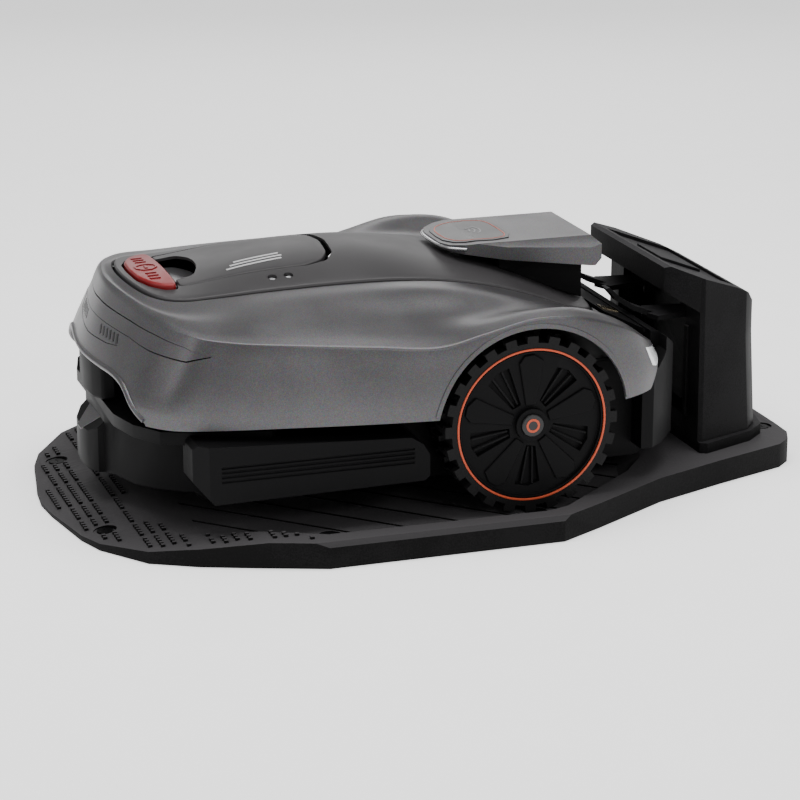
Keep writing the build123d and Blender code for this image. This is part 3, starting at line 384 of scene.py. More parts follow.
def refine(node, width, look=None, segments=2, angle=28, merge_angle=0.8):
    """A rounded, finished copy of a CAD node, which it stands for."""
    source = frame["nodes"][node]
    bm = bmesh.new()
    bm.from_mesh(source.data)
    bmesh.ops.remove_doubles(bm, verts=bm.verts, dist=3e-6)
    bmesh.ops.dissolve_limit(bm, angle_limit=math.radians(merge_angle), verts=bm.verts,
                             edges=bm.edges)
    mesh = bpy.data.meshes.new(node + "_finished")
    bm.to_mesh(mesh)
    bm.free()
    piece = link(mesh, node + "_finished", look or LOOKS[SLOT_OF[node]])
    if width:
        bevel(piece, width, segments, angle)
    settle(piece)
    own(piece, BODY_OF[node], SLOT_OF[node], node)
    return piece


# ------------------------------------------------------------------ body lines
SKIRT_Z = 134.0
AXLE_X, AXLE_Z = 55.6, 115.5
SILL = [(-383, 0), (-376, 75), (-365, 130), (-349, 166), (-325, 192), (-285, 206),
        (-200, 223), (-115, 238), (-50, 246), (0, 249), (56, 250), (110, 248),
        (160, 238), (200, 214), (228, 175), (246, 0)]
CREASE = [(-352, 0, 246), (-342, 80, 240), (-330, 125, 236), (-314, 162, 232), (-292, 190, 229),
          (-257, 205, 225), (-200, 218, 221), (-115, 232, 215), (-50, 243, 212), (0, 246, 224),
          (56, 247, 236), (110, 245, 231), (160, 234, 214), (196, 208, 192), (220, 168, 176),
          (236, 0, 172)]
SHOULDER = [(-345, 0, 251), (-337, 62, 248), (-326, 98, 245), (-311, 122, 243), (-293, 134, 242),
            (-258, 137, 243), (-200, 137, 247), (-115, 137, 249), (-50, 138, 248), (0, 140, 244),
            (56, 142, 234), (110, 142, 220), (160, 140, 202), (186, 128, 194), (203, 100, 189),
            (215, 0, 186)]
SPINE_EDGE = [(-337, 0, 255), (-332, 50, 253), (-323, 80, 250.5), (-309, 98, 248.5),
              (-290, 106, 247.5), (-255, 108, 248.5), (-200, 109, 251), (-115, 109, 252.5),
              (-50, 109, 251), (0, 109, 246.5), (56, 109, 236), (110, 109, 219.5),
              (158, 107, 201), (180, 98, 195), (190, 62, 192.5), (194, 0, 192)]
RIDGE_RISE = [(-120, 2), (-50, 0), (0, -1), (55, 2.5), (106, 8.5), (158, 6), (198, 1), (220, 0)]
VALLEY_RISE = [(-200, 2.5), (-120, 1), (-50, -3), (0, -7), (55, -7), (110, -4), (160, -2), (200, 1)]
CROWN = [(-337, 3), (-282, 10), (-217, 18.5), (-149, 22), (-60, 22), (20, 16), (88, 15),
         (176, 8), (194, 5)]
SPAN_STEPS = 8


def track(stations, x):
    xs, values = zip(*stations)
    return float(np.interp(x, xs, values))


def catmull(points, steps, before=None, after=None):
    """Centripetal Catmull-Rom curve through the points."""
    pts = [np.array(p, float) for p in points]
    before = pts[0] * 2 - pts[1] if before is None else np.array(before, float)
    after = pts[-1] * 2 - pts[-2] if after is None else np.array(after, float)
    full = [before] + pts + [after]
    curve = []
    for p0, p1, p2, p3 in zip(full, full[1:], full[2:], full[3:]):
        t0 = 0.0
        t1 = t0 + max(np.linalg.norm(p1 - p0), 1e-6) ** 0.5
        t2 = t1 + max(np.linalg.norm(p2 - p1), 1e-6) ** 0.5
        t3 = t2 + max(np.linalg.norm(p3 - p2), 1e-6) ** 0.5
        for k in range(steps):
            t = t1 + (t2 - t1) * k / steps
            a1 = (t1 - t) / (t1 - t0) * p0 + (t - t0) / (t1 - t0) * p1
            a2 = (t2 - t) / (t2 - t1) * p1 + (t - t1) / (t2 - t1) * p2
            a3 = (t3 - t) / (t3 - t2) * p2 + (t - t2) / (t3 - t2) * p3
            b1 = (t2 - t) / (t2 - t0) * a1 + (t - t0) / (t2 - t0) * a2
            b2 = (t3 - t) / (t3 - t1) * a2 + (t - t1) / (t3 - t1) * a3
            curve.append((t2 - t) / (t2 - t1) * b1 + (t - t1) / (t2 - t1) * b2)
    curve.append(pts[-1])
    return curve


def smooth_line(line):
    """Dense half line, with its ends square to the mid plane."""
    first, last = line[1], line[-2]
    return catmull(line, SPAN_STEPS, (first[0], -first[1], first[2]), (last[0], -last[1], last[2]))


def blend_line(low, high, share, rise):
    result = []
    for a, b in zip(low, high):
        x, y, z = [p + (q - p) * share for p, q in zip(a, b)]
        result.append((x, y, z + track(rise, x)))
    return result


def section_columns():
    """Columns of the painted body, each from the skirt up to the spine edge."""
    sill = smooth_line([(x, y, SKIRT_Z) for x, y in SILL])
    band = smooth_line([(x, y + (1.5 if y else 0), SKIRT_Z + 21) for x, y in SILL])
    lines = [CREASE, blend_line(CREASE, SHOULDER, 0.22, RIDGE_RISE),
             blend_line(CREASE, SHOULDER, 0.6, VALLEY_RISE), SHOULDER, SPINE_EDGE]
    upper = [smooth_line(line) for line in lines]
    columns = []
    for i in range(len(sill)):
        lower = catmull([sill[i], band[i], upper[0][i]], SECTION_STEPS)
        over = catmull([line[i] for line in upper], SECTION_STEPS)
        column = lower[:-1] + over
        if i in (0, len(sill) - 1):
            column = [np.array([p[0], 0.0, p[2]]) for p in column]
        columns.append(column)
    return np.array(columns)


def grid_normals(grid):
    """Inward normals of a half grid that meets the mid plane at both ends."""
    across = np.array([1, -1, 1])
    du = np.gradient(grid, axis=0)
    du[0] = (grid[1] - grid[1] * across) / 2
    du[-1] = (grid[-2] * across - grid[-2]) / 2
    dv = np.gradient(grid, axis=1)
    normals = np.cross(du, dv)
    return normals / np.maximum(np.linalg.norm(normals, axis=2, keepdims=True), 1e-9)


def rounded_crease(grid):
    """Outer grid whose crease row is replaced by four rows on a small radius."""
    row = CREASE_ROW
    crease, below, above = grid[:, row], grid[:, row - 1], grid[:, row + 1]
    down, rise = below - crease, above - crease
    reach_down = np.linalg.norm(down, axis=1, keepdims=True)
    reach_up = np.linalg.norm(rise, axis=1, keepdims=True)
    down = down / np.maximum(reach_down, 1e-6)
    rise = rise / np.maximum(reach_up, 1e-6)
    gap = np.minimum(np.minimum(reach_down, reach_up) * 0.6, CREASE_RADIUS)
    rows = []
    for t in (0.0, 1 / 3, 2 / 3, 1.0):
        start, end = crease + down * gap, crease + rise * gap
        rows.append((1 - t) ** 2 * start + 2 * t * (1 - t) * crease + t * t * end)
    return np.concatenate([grid[:, :row], np.stack(rows, axis=1), grid[:, row + 1:]], axis=1)


def closed_hull(name, low_offset, high_offset, look):
    """Solid between two inward offsets of the painted body, open over the spine and below."""
    outer = rounded_crease(COLUMNS + NORMALS * low_offset)[:TAIL_COLUMN]
    inner = (COLUMNS + NORMALS * high_offset)[:TAIL_COLUMN]
    for layer in (outer, inner):
        layer[0, :, 1] = 0.0
    points, faces = [], []
    count = len(outer)
    for side in (1, -1):
        flip = np.array([1, side, 1])
        starts = []
        for layer in (outer, inner):
            starts.append((len(points), layer.shape[1]))
            points.extend(map(tuple, (layer * flip).reshape(-1, 3)))
        for start, height in starts:
            for i in range(count - 1):
                for j in range(height - 1):
                    a = start + i * height + j
                    faces.append((a, a + height, a + height + 1, a + 1))
        (out, tall), (back, low) = starts
        for i in range(count - 1):
            faces.append((out + i * tall, out + (i + 1) * tall, back + (i + 1) * low, back + i * low))
            a, b = out + i * tall + tall - 1, back + i * low + low - 1
            faces.append((a, a + tall, b + low, b))
        end_out = [out + (count - 1) * tall + j for j in range(tall)]
        end_in = [back + (count - 1) * low + j for j in range(low)]
        for j in range(tall - 1):
            p = min(j, CREASE_ROW) if j < CREASE_ROW + 3 else j - 3
            q = min(j + 1, CREASE_ROW) if j + 1 < CREASE_ROW + 3 else j - 2
            quad = [end_out[j], end_out[j + 1], end_in[q]]
            if p != q:
                quad.append(end_in[p])
            faces.append(tuple(quad))
    return mesh_from(name, points, faces, look)


SECTION_STEPS = 5
CREASE_ROW = 2 * SECTION_STEPS
CREASE_RADIUS = 3.0
COLUMNS = section_columns()
NORMALS = grid_normals(COLUMNS)
TAIL_COLUMN = 14 * SPAN_STEPS + 3      # the skin ends here, inside the cut of the rear deck


def full_outline(half):
    return list(half) + [(a, -b) for a, b in reversed(half) if b > 0]


# ------------------------------------------------------------------ painted shell
BAR = [(0, 230), (92, 227), (140, 223.5), (178, 219), (199, 212.5), (186, 206), (140, 208.5),
       (100, 213), (0, 215)]
PANEL = [(0, 214.5), (99, 212.4), (92, 204), (84, 200), (60, 197), (0, 195)]
MOUTH = [(0, 172), (100, 171), (124, 166), (146, 152), (166, 136), (170, 100), (0, 100)]
LENS = [(196, 182), (214, 176), (232, 176), (232, 168), (216, 156), (206, 160)]
ARCH_CUT = 109                 # radius of the wheel openings


def front_outline(half, grow=0.0):
    whole = list(half) + [(-y, z) for y, z in reversed(half) if y > 0]
    if grow:
        cz = sum(z for _, z in whole) / len(whole)
        cy_scale = 1 + grow / 150
        whole = [(y * cy_scale, cz + (z - cz) * (1 + grow / 8)) for y, z in whole]
    return whole


def tail_cut_tool():
    half = [(188, 0), (188, 99), (228, 172), (244, 172), (300, 150), (300, 0)]
    return prism("tail cut", full_outline(half), "xy", 100, 240)


def tail_trim_tool():
    return prism("tail trim", [(150, 90), (182, 118), (206, 136), (226, 172), (300, 172), (300, 90)],
                 "xz", -300, 300)


shell = closed_hull("body_shell_finished", 0.0, 3.0, LOOKS["shell_silver"])
for side in (-1, 1):
    cut(shell, tube("arch", ARCH_CUT, side * 172, side * 320, AXLE_X, AXLE_Z, sides=144))
cut(shell, tail_cut_tool())
cut(shell, tail_trim_tool())
cut(shell, prism("mouth", front_outline(MOUTH), "yz", -400, -300))
for outline, grow in ((BAR, 1.0), (PANEL, 0.7)):
    cut(shell, prism("front", front_outline(outline, grow), "yz", -400, -285))
cut(shell, prism("lens", LENS, "xz", -260, -120))
cut(shell, prism("lens", LENS, "xz", 120, 260))
settle(shell, 35)
own(shell, "shell", "shell_silver", "body_shell")

for node, outline in (("light_bar", BAR), ("light_panel", PANEL)):
    face = closed_hull(node + "_finished", 0.4, 2.4, LOOKS["shell_silver"])
    cut(face, prism("outline", front_outline(outline), "yz", -400, -285), "INTERSECT")
    settle(face, 35)
    own(face, "shell", SLOT_OF[node], node)
    if node == "light_panel":
        for k, y in enumerate((-78, -69, -60, -51, -42, -33, 33, 42, 51, 60, 69, 78)):
            slot_path = [(y - 2.5 + 5 * t, 201 + 9 * t) for t in (0, 0.25, 0.5, 0.75, 1)]
            mark = strip("panel_slot_%d" % k, face, slot_path, 3.4, "back", 0.35, LOOKS["gloss_black"])
            own(mark, "shell", "visor_grey")
for side, tag in ((-1, "left"), (1, "right")):
    lens = closed_hull("tail_lens_" + tag + "_finished", 0.2, 2.0, LOOKS["lens_clear"])
    cut(lens, prism("outline", LENS, "xz", *sorted((side * 120, side * 260))), "INTERSECT")
    cut(lens, tail_cut_tool())
    settle(lens, 35)
    own(lens, "shell", "lens_clear", "tail_lens_" + tag)

# raised lips of the wheel openings and of the mouth
FLANGE_IN, FLANGE_OUT = 109.4, 114.4
for side, axis in ((-1, "left"), (1, "right")):
    turns = [math.radians(11 + 158 * k / 96) for k in range(97)]
    middle = (FLANGE_IN + FLANGE_OUT) / 2
    path = [(AXLE_X + middle * math.cos(t), AXLE_Z + middle * math.sin(t)) for t in turns]
    flange = strip("arch_flange_" + axis, shell, path, FLANGE_OUT - FLANGE_IN, axis, 1.2,
                   LOOKS["shell_silver"])
    bevel(flange, 0.7)
    settle(flange)
    own(flange, "shell", "shell_silver")
lip_half = catmull([(0, 172), (60, 171.7), (100, 171), (124, 166), (146, 152), (164, 137.5)], 8)
lip_path = []
for y, z in [(-p[0], p[1]) for p in reversed(lip_half)] + [(p[0], p[1]) for p in lip_half[1:]]:
    found = surface_point(shell, "back", y, z + 2.0)
    if found is not None:
        lip_path.append((found[0][0] + 1.4, y, z + 2.2))
mouth_lip = sweep("mouth_lip", lip_path, 3.6, LOOKS["shell_silver"])
settle(mouth_lip, 60)
own(mouth_lip, "shell", "shell_silver")


# ------------------------------------------------------------------ centre cover, lid, stop button
EDGE_LINE = smooth_line(SPINE_EDGE)
EDGE_X = [p[0] for p in EDGE_LINE]
EDGE_Z = [p[2] for p in EDGE_LINE]
CROWN_CURVE = catmull([(x, c, 0) for x, c in CROWN], 10)
CROWN_X = [p[0] for p in CROWN_CURVE]
CROWN_H = [p[1] for p in CROWN_CURVE]


CROWN_HALF = 109               # half width over which the cover rises to its crown


def spine_z(x, y):
    edge = np.interp(x, EDGE_X, EDGE_Z)
    return float(edge + np.interp(x, CROWN_X, CROWN_H) * (1 - (y / CROWN_HALF) ** 2))


def shrink(outline, distance):
    """Move a closed outline inwards along its vertex normals."""
    count = len(outline)
    area = sum(outline[i][0] * outline[(i + 1) % count][1] - outline[(i + 1) % count][0] * outline[i][1]
               for i in range(count))
    turn = 1 if area > 0 else -1
    result = []
    for i in range(count):
        a, b, c = (np.array(outline[k % count], float) for k in (i - 1, i, i + 1))
        before = (b - a) / max(np.linalg.norm(b - a), 1e-9)
        after = (c - b) / max(np.linalg.norm(c - b), 1e-9)
        normal = np.array([-(before[1] + after[1]), before[0] + after[0]]) * turn
        size = max(np.linalg.norm(normal), 1e-9)
        normal /= size
        stretch = min(1 / max(size / 2, 0.5), 1.6)
        result.append(tuple(b + normal * distance * stretch))
    return result


def dense(outline, pitch=4.0, corner=0.0):
    """Closed outline with extra points, optionally with its corners rounded."""
    points = outline
    if corner:
        rounded = []
        count = len(points)
        for i in range(count):
            a, b, c = (np.array(points[k % count], float) for k in (i - 1, i, i + 1))
            back, ahead = a - b, c - b
            reach = min(corner, np.linalg.norm(back) * 0.45, np.linalg.norm(ahead) * 0.45)
            p = b + back / np.linalg.norm(back) * reach
            q = b + ahead / np.linalg.norm(ahead) * reach
            for k in range(6):
                t = k / 5
                rounded.append(tuple((1 - t) ** 2 * p + 2 * t * (1 - t) * b + t * t * q))
        points = rounded
    result = []
    count = len(points)
    for i in range(count):
        a, b = np.array(points[i]), np.array(points[(i + 1) % count])
        steps = max(1, int(np.linalg.norm(b - a) / pitch))
        result.extend(tuple(a + (b - a) * k / steps) for k in range(steps))
    return result


def crowned(name, outline, height, look, radius=2.0, depth=8.0, thickness=3.0, rings=14):
    """Closed solid whose top follows height(x, y), with a rounded rim and a wall going down."""
    centre = np.mean(np.array(outline), axis=0)
    loops = []
    loops.append([(x, y, height(x, y) - thickness) for x, y in shrink(outline, thickness)])
    loops.append([(x, y, height(x, y) - depth) for x, y in shrink(outline, thickness)])
    loops.append([(x, y, height(x, y) - depth) for x, y in outline])
    for k in range(6):
        angle = math.pi / 2 * k / 5
        ring = shrink(outline, radius * (1 - math.cos(angle)))
        loops.append([(x, y, height(x, y) - radius * (1 - math.sin(angle))) for x, y in ring])
    top_start = np.array(shrink(outline, radius))
    under_start = np.array(shrink(outline, thickness))
    for k in range(1, rings):
        share = 1 - k / rings
        loops.append([(x, y, height(x, y)) for x, y in centre + (top_start - centre) * share])
    under = []
    for k in range(1, rings):
        share = 1 - k / rings
        ring = centre + (under_start - centre) * share
        under.append([(x, y, height(x, y) - thickness) for x, y in ring])
    points, faces = [], []
    count = len(outline)
    chain = list(reversed(under)) + loops
    for loop in chain:
        points.extend(loop)
    for r in range(len(chain) - 1):
        for i in range(count):
            j = (i + 1) % count
            a, b = r * count, (r + 1) * count
            faces.append((a + i, a + j, b + j, b + i))
    for start, level in ((0, height(*centre) - thickness), (len(chain) - 1, height(*centre))):
        hub = len(points)
        points.append((centre[0], centre[1], level))
        for i in range(count):
            faces.append((start * count + i, start * count + (i + 1) % count, hub))
    return mesh_from(name, points, faces, look)


COVER_RISE = 0.9               # keeps the crown and its marks below the top of the CAD model
STOP_RISE = 5.6                # top of the stop button over the crown line
UNDER_GAP = 1.3                # the well ends this far below the crown line
STOP_X = -305                  # middle of the stop button
COVER_SCREWS = [(-168, -84), (-186, -84), (-168, 84), (-186, 84)]
SEAT_DEPTH = 2.4


def cover_top(x, y):
    return spine_z(x, y) + COVER_RISE


LID_PLAN = full_outline([(-283, 0), (-283, 63), (-279, 67), (-144, 67), (-123, 59), (-112, 41),
                         (-108, 0)])
LID_HOLE = full_outline([(-285, 0), (-285, 64), (-280, 69), (-142, 69), (-118, 62), (-106, 43),
                         (-102, 0)])
STOP_PLAN = full_outline([(-324, 0), (-322, 32), (-313, 56), (-300, 70), (-289, 72), (-287, 60),
                          (-287, 0)])
STOP_HOLE = full_outline([(-326.5, 0), (-324.5, 34), (-315, 58), (-301, 72.5), (-287, 74.5), (-285, 62),
                          (-285, 0)])
DISH = full_outline([(-290, 0), (-290, 48), (-262, 44), (-253, 20), (-251, 0)])

spine_half = [(p[0], p[1]) for p in EDGE_LINE]
spine_outline = shrink(dense(full_outline(spine_half), 6), 3.5)
spine = crowned("spine_cover_finished", spine_outline, cover_top, LOOKS["spine_grey"], 2.6, 12, 3.2)
cut(spine, prism("lid hole", dense(LID_HOLE, 50, 4), "xy", 200, 300))
cut(spine, prism("stop hole", dense(STOP_HOLE, 50, 4), "xy", 200, 300))
for x, y in COVER_SCREWS:
    turns = [k * math.pi / 12 for k in range(24)]
    ring = [(x + 5.2 * math.cos(t), y + 5.2 * math.sin(t)) for t in turns]
    cut(spine, prism("screw seat", ring, "xy", cover_top(x, y) - SEAT_DEPTH, 300))
settle(spine, 35)
own(spine, "shell", "spine_grey", "spine_cover")

# the well under the lid and button, and the cover's mounting struts
well_half = [(-330, 0), (-328, 36), (-318, 62), (-303, 77), (-281, 79), (-145, 72), (-106, 60), (-103, 0)]
room_half = [(-327, 0), (-325, 34), (-315.5, 59), (-301.5, 74), (-281, 75), (-146, 69.5), (-109, 57),
             (-105, 0)]
well = prism("spine_well", dense(full_outline(well_half), 60, 5), "xy", 228, 262, LOOKS["black_plastic"])
cut(well, prism("room", dense(full_outline(room_half), 60, 5), "xy", 231, 300))
under = crowned("under", spine_outline, lambda x, y: spine_z(x, y) - UNDER_GAP,
                LOOKS["black_plastic"], 1, 90, 80)
cut(well, under, "INTERSECT")
bevel(well, 0.8)
settle(well)
own(well, "shell", "black_plastic")

lid = crowned("hatch_lid_finished", dense(LID_PLAN, 4, 7), cover_top, LOOKS["spine_grey"], 1.6, 5.5, 3.2)
cut(lid, prism("dish", dense(DISH, 50, 8), "xy", 200, 300))
settle(lid, 35)
own(lid, "hatch_lid", "spine_grey", "hatch_lid")

stop = crowned("stop_button_finished", dense(STOP_PLAN, 3, 6),
               lambda x, y: spine_z(x, y) + STOP_RISE,
               LOOKS["red_plastic"], 3.0, 12, 3.5)
settle(stop, 40)
own(stop, "stop_button", "red_plastic", "stop_button")

# raised octagon, bar and ribs on the button, bars on the lid, screws of the cover
octagon = [(STOP_X + 12 * math.cos(math.radians(22.5 + 45 * k)),
            12 * math.sin(math.radians(22.5 + 45 * k))) for k in range(8)]
marks = [("stop_octagon", stop, "stop_button", dense(octagon, 2), 2.2, True),
         ("stop_bar", stop, "stop_button", [(STOP_X, y) for y in (-5, -2.5, 0, 2.5, 5)], 2.6, False)]
for k, y in enumerate((-44, -34, -24, 24, 34, 44)):
    rib_path = [(STOP_X - 6 + 3 * n, y) for n in range(5)]
    marks.append(("stop_rib_%d" % k, stop, "stop_button", rib_path, 2.6, False))
for k, y in enumerate((-47, -40, -33)):
    bar_path = [(x, y + (x + 190) * 0.12) for x in range(-228 + 6 * k, -160, 4)]
    marks.append(("lid_bar_%d" % k, lid, "hatch_lid", bar_path, 3.2, False))
for name, target, body, path, width, closed in marks:
    on_lid = body == "hatch_lid"
    mark = strip(name, target, path, width, "down", 0.25 if on_lid else 1.0,
                 MARK_WHITE if on_lid else LOOKS["red_plastic"], closed)
    own(mark, body, "spine_grey" if on_lid else "red_plastic")
for k, (x, y) in enumerate(COVER_SCREWS):
    seat = cover_top(x, y) - SEAT_DEPTH
    screw = prism("cover_screw_%d" % k, disc_outline(x, y, 4.0), "xy", seat - 1.5, seat + 0.9,
                  LOOKS["steel"])
    cut(screw, prism("drive slot", rect(x - 2.6, x + 2.6, y - 0.6, y + 0.6), "xy", seat, seat + 3))
    bevel(screw, 0.4)
    settle(screw)
    own(screw, "shell", "steel")

DISH_FLOOR = full_outline([(-281, 0), (-281, 46), (-262, 44), (-250, 24), (-247, 0)])
dish_floor = prism("finger_dish", dense(DISH_FLOOR, 50, 6), "xy", 243.5, 247, LOOKS["visor_grey"])
bevel(dish_floor, 1.0)
settle(dish_floor)
own(dish_floor, "shell", "spine_grey")

# hinge, stop guide and mounting posts under the cover
HINGE_X, HINGE_Z = -113.0, 268.0
for k, (y0, y1) in enumerate(((-25, -20.5), (20.5, 25))):
    ear = prism("hinge_ear_%d" % k, rect(-117, -111.2, 231, 270.2), "xz", y0, y1, LOOKS["spine_grey"])
    bevel(ear, 0.8)
    settle(ear)
    own(ear, "shell", "spine_grey")
own(tube("hinge_pin", 1.6, -25, 25, HINGE_X, HINGE_Z, LOOKS["steel"], 32), "shell", "steel")
knuckle = lathe_y("hinge_knuckle", [(1.65, -20), (3.4, -20), (3.4, 20), (1.65, 20)], HINGE_X, HINGE_Z,
                  LOOKS["spine_grey"], 48)
settle(knuckle)
own(knuckle, "hatch_lid", "spine_grey")
web = prism("hinge_web", rect(-115, -111, 270.6, 274.6), "xz", -20, 20, LOOKS["spine_grey"])
own(web, "hatch_lid", "spine_grey")
wall = prism("stop_wall", rect(-285, -282, -74.5, 74.5), "xy", 230.5, 243, LOOKS["black_plastic"])
own(wall, "shell", "black_plastic")
post = prism("stop_post", disc_outline(STOP_X, 0, 4.0), "xy", 230.5, 238, LOOKS["black_plastic"])
own(post, "shell", "black_plastic")
stem = prism("stop_stem", disc_outline(STOP_X, 0, 6.0), "xy", 236.5, 254, LOOKS["red_plastic"])
cut(stem, prism("bore", disc_outline(STOP_X, 0, 4.1), "xy", 230, 243.5))
own(stem, "stop_button", "red_plastic")
for k, (x, y) in enumerate(((-85, 60), (-85, -60), (75, 60), (75, -60))):
    strut = prism("float_strut_%d" % k, rect(x - 3, x + 3, y - 3, y + 3), "xy", 190, spine_z(x, y) - 0.6,
                  LOOKS["spine_grey"])
    own(strut, "shell", "spine_grey")
    pin = prism("float_pin_%d" % k, disc_outline(x, y, 3.5), "xy", 172, 196, LOOKS["spine_grey"])
    own(pin, "shell", "spine_grey")


# ------------------------------------------------------------------ plain finished copies
ROUNDING = {
    "front_bumper": 1.6, "nose_block": 3.0, "side_guard_left": 1.0, "side_guard_right": 1.0,
    "rear_housing": 1.6, "rear_deck": 0.8, "pod_shell": 1.1, "pod_label": 0.6, "pod_base": 1.0,
    "dock_plate": 0.5, "dock_tower": 2.0, "indicator_panel": 0.6,
    "column_guides": 1.0, "arm_bracket": 0.6, "charge_arm_left": 0.8, "charge_arm_right": 0.8,
    "chassis_tub": 1.0, "chassis_cover": 0.5, "control_panel": 1.0, "caster_fork_left": 0.8,
    "caster_fork_right": 0.8, "battery_pack": 1.5, "cutting_disc": 0.6, "lift_carrier": 0.6,
    "ground_pegs": 0.3, "power_button": 0.6, "cable_gland": 0.8, "tyre_left": 0.7, "tyre_right": 0.7,
    "wheel_rim_left": 0.8, "wheel_rim_right": 0.8, "hub_cap_left": 1.4, "hub_cap_right": 1.4,
    "tower_back": 0.8,
}
OTHER_LOOK = {"nose_block": LOOKS["black_plastic"], "indicator_panel": LOOKS["charcoal_plastic"]}
FINISHED = {node: refine(node, width, OTHER_LOOK.get(node)) for node, width in ROUNDING.items()}
facet = prism("prow_facet", [(-384.4, 88.2), (-352, 117.6), (-352, 116.4), (-384, 86.8)], "xz", -30, 30,
              LOOKS["shell_silver"])
FACET_PLAN = [(-386, -7), (-386, 7), (-366, 26), (-352, 30), (-352, -30), (-366, -26)]
cut(facet, prism("facet outline", FACET_PLAN, "xy", 80, 125), "INTERSECT")
settle(facet)
own(facet, BODY_OF["front_bumper"], SLOT_OF["front_bumper"])
for node, piece in frame["nodes"].items():
    piece.data.materials.clear()
    piece.data.materials.append(LOOKS[SLOT_OF[node]])


# ------------------------------------------------------------------ wheel faces
def turned(outline, angle):
    """Wheel-face outline turned about the axle, in XZ mm."""
    c, s = math.cos(math.radians(angle)), math.sin(math.radians(angle))
    return [(AXLE_X + x * c + z * s, AXLE_Z - x * s + z * c) for x, z in outline]


SLOT_TURN, SLOT_PITCH = 18, 72
RIBS = ([(26, -2.6), (67, -10), (67, -7.8), (26, -0.6)], [(26, 2.2), (68, 2.6), (68, 4.8), (26, 4.2)])
BLADE = [(21, -5), (70, -14), (77, -3), (76, 8), (68, 14), (21, 6)]
for side, tag in ((-1, "left"), (1, "right")):
    body = "drive_wheel_" + tag
    for k in range(5):
        angle = SLOT_TURN + SLOT_PITCH * k
        for n, rib in enumerate(RIBS):
            low, high = sorted((side * 224.6, side * 229.4))
            piece = prism("wheel_rib_%s_%d%d" % (tag, k, n), turned(rib, angle), "xz", low, high,
                          LOOKS["charcoal_plastic"])
            bevel(piece, 0.5)
            settle(piece)
            own(piece, body, "black_plastic")
        low, high = sorted((side * 230.6, side * 233.6))
        piece = prism("wheel_blade_%s_%d" % (tag, k), turned(BLADE, angle + SLOT_PITCH / 2), "xz", low,
                      high, LOOKS["black_plastic"])
        bevel(piece, 1.3, 3)
        settle(piece)
        own(piece, body, "black_plastic")
    low, high = sorted((side * 235.1, side * 237.0))
    ring = lathe_y("wheel_ring_%s_finished" % tag, [(82.2, low), (84.4, low), (84.4, high), (82.2, high)],
                   AXLE_X, AXLE_Z, LOOKS["orange_ring"], 160)
    bevel(ring, 0.5)
    settle(ring)
    own(ring, body, "orange_ring", "wheel_ring_" + tag)
    cap_face = side * 239.5
    low, high = sorted((cap_face - side * 0.6, cap_face + side * 0.3))
    mark = lathe_y("hub_mark_" + tag, [(5.2, low), (7.6, low), (7.6, high), (5.2, high)], AXLE_X, AXLE_Z,
                   LOOKS["orange_ring"], 64)
    own(mark, body, "orange_ring")

# ------------------------------------------------------------------ pod trim
pod_lip = sweep("pod_lip", [(46, -57, 266), (36, -50, 266), (29.5, -43, 266), (24.5, -34, 266),
                            (22.8, -23, 266), (22, -10, 266), (22, 10, 266), (22.8, 23, 266),
                            (24.5, 34, 266), (29.5, 43, 266), (36, 50, 266), (46, 57, 266)], 2.0, CHROME)
settle(pod_lip, 60)
own(pod_lip, BODY_OF["pod_shell"], SLOT_OF["pod_shell"])
LABEL = full_outline([(33, 0), (34, 20), (40, 34), (50, 41), (80, 45), (96, 40), (101, 28), (102, 0)])
label_line = strip("label_outline", FINISHED["pod_label"], dense(LABEL, 3, 6), 0.9, "down", 0.25,
                   LOOKS["orange_ring"], True)
own(label_line, BODY_OF["pod_label"], "orange_ring")
for k, radius in enumerate((9, 15, 21)):
    arc = [(60 + radius * math.cos(math.radians(a)), radius * math.sin(math.radians(a)))
           for a in range(-50, 51, 5)]
    wave = strip("label_arc_%d" % k, FINISHED["pod_label"], arc, 1.8, "down", 0.25, MARK_GREY)
    own(wave, BODY_OF["pod_label"], SLOT_OF["pod_label"])


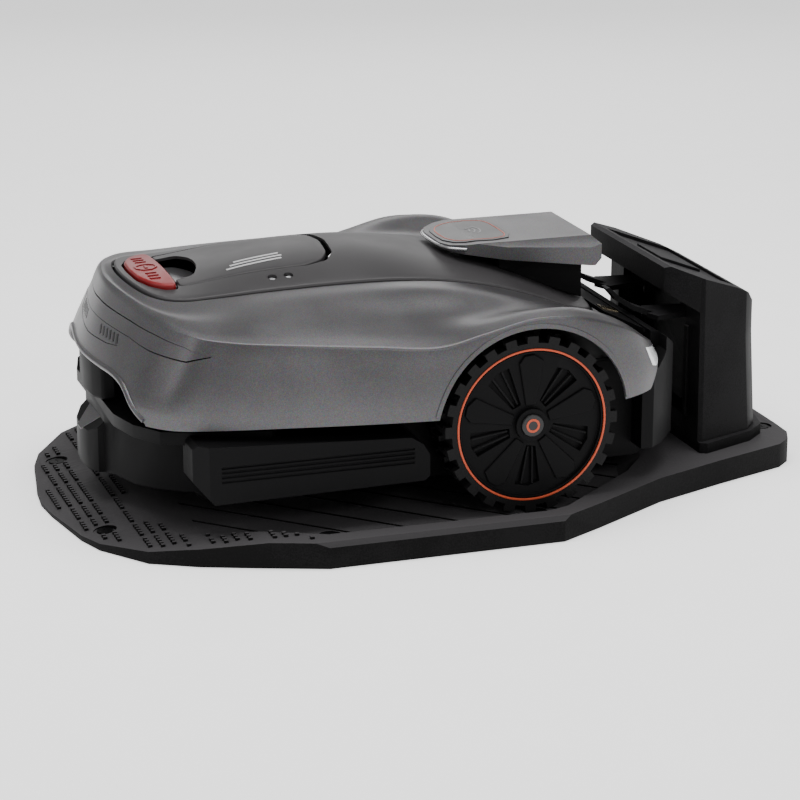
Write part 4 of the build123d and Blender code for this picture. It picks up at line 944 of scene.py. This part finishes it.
# ------------------------------------------------------------------ stage, light, camera
def soft_light(name, place, aim, size, power):
    lamp = bpy.data.lights.new(name, "AREA")
    lamp.shape = "RECTANGLE"
    lamp.size, lamp.size_y = size
    lamp.energy = power
    holder = bpy.data.objects.new(name, lamp)
    bpy.context.scene.collection.objects.link(holder)
    holder.location = place
    holder.rotation_euler = (Vector(aim) - Vector(place)).to_track_quat("-Z", "Y").to_euler()
    return holder


FLOOR_REACH = 14.0
floor = mesh_from("floor", [(-FLOOR_REACH, -FLOOR_REACH, 0), (FLOOR_REACH, -FLOOR_REACH, 0),
                            (FLOOR_REACH, FLOOR_REACH, 0), (-FLOOR_REACH, FLOOR_REACH, 0)],
                  [(0, 1, 2, 3)],
                  plastic("studio floor", (0.95, 0.95, 0.95), 0.85, grain=300, depth=0.02, mottle=0.01,
                          specular=0.1), unit=1.0)
floor.location.z = -0.0005
floor_shader = floor.data.materials[0].node_tree.nodes["Principled BSDF"]
floor_shader.inputs["Emission Color"].default_value = (1, 1, 1, 1)
floor_shader.inputs["Emission Strength"].default_value = 0.75
world = bpy.data.worlds.new("studio")
bpy.context.scene.world = world
world.use_nodes = True
world.node_tree.nodes["Background"].inputs["Color"].default_value = (1.0, 1.0, 1.0, 1)
world.node_tree.nodes["Background"].inputs["Strength"].default_value = 0.42
soft_light("top softbox", (0.0, -0.1, 2.4), (0, 0.0, 0.1), (2.6, 1.4), 62)
soft_light("front strip", (-2.6, -0.6, 1.5), (-0.2, 0, 0.15), (0.9, 1.6), 11)
soft_light("side strip", (0.9, -2.9, 1.9), (0.1, 0, 0.15), (1.8, 0.6), 26)
soft_light("rim strip", (0.8, 2.6, 1.3), (0.1, 0, 0.2), (2.4, 0.7), 13)

camera_data = bpy.data.cameras.new("camera")
camera_data.lens = 126
camera_data.sensor_width = 36
camera = bpy.data.objects.new("camera", camera_data)
bpy.context.scene.collection.objects.link(camera)
right = Vector((0.94754, -0.31963, 0.0))
back = Vector((-0.30557, -0.90585, 0.29337))
up = back.cross(right)
camera.matrix_world = Matrix((
    (right.x, up.x, back.x, -0.98606),
    (right.y, up.y, back.y, -2.88426),
    (right.z, up.z, back.z, 1.01548),
    (0, 0, 0, 1)))
bpy.context.scene.camera = camera
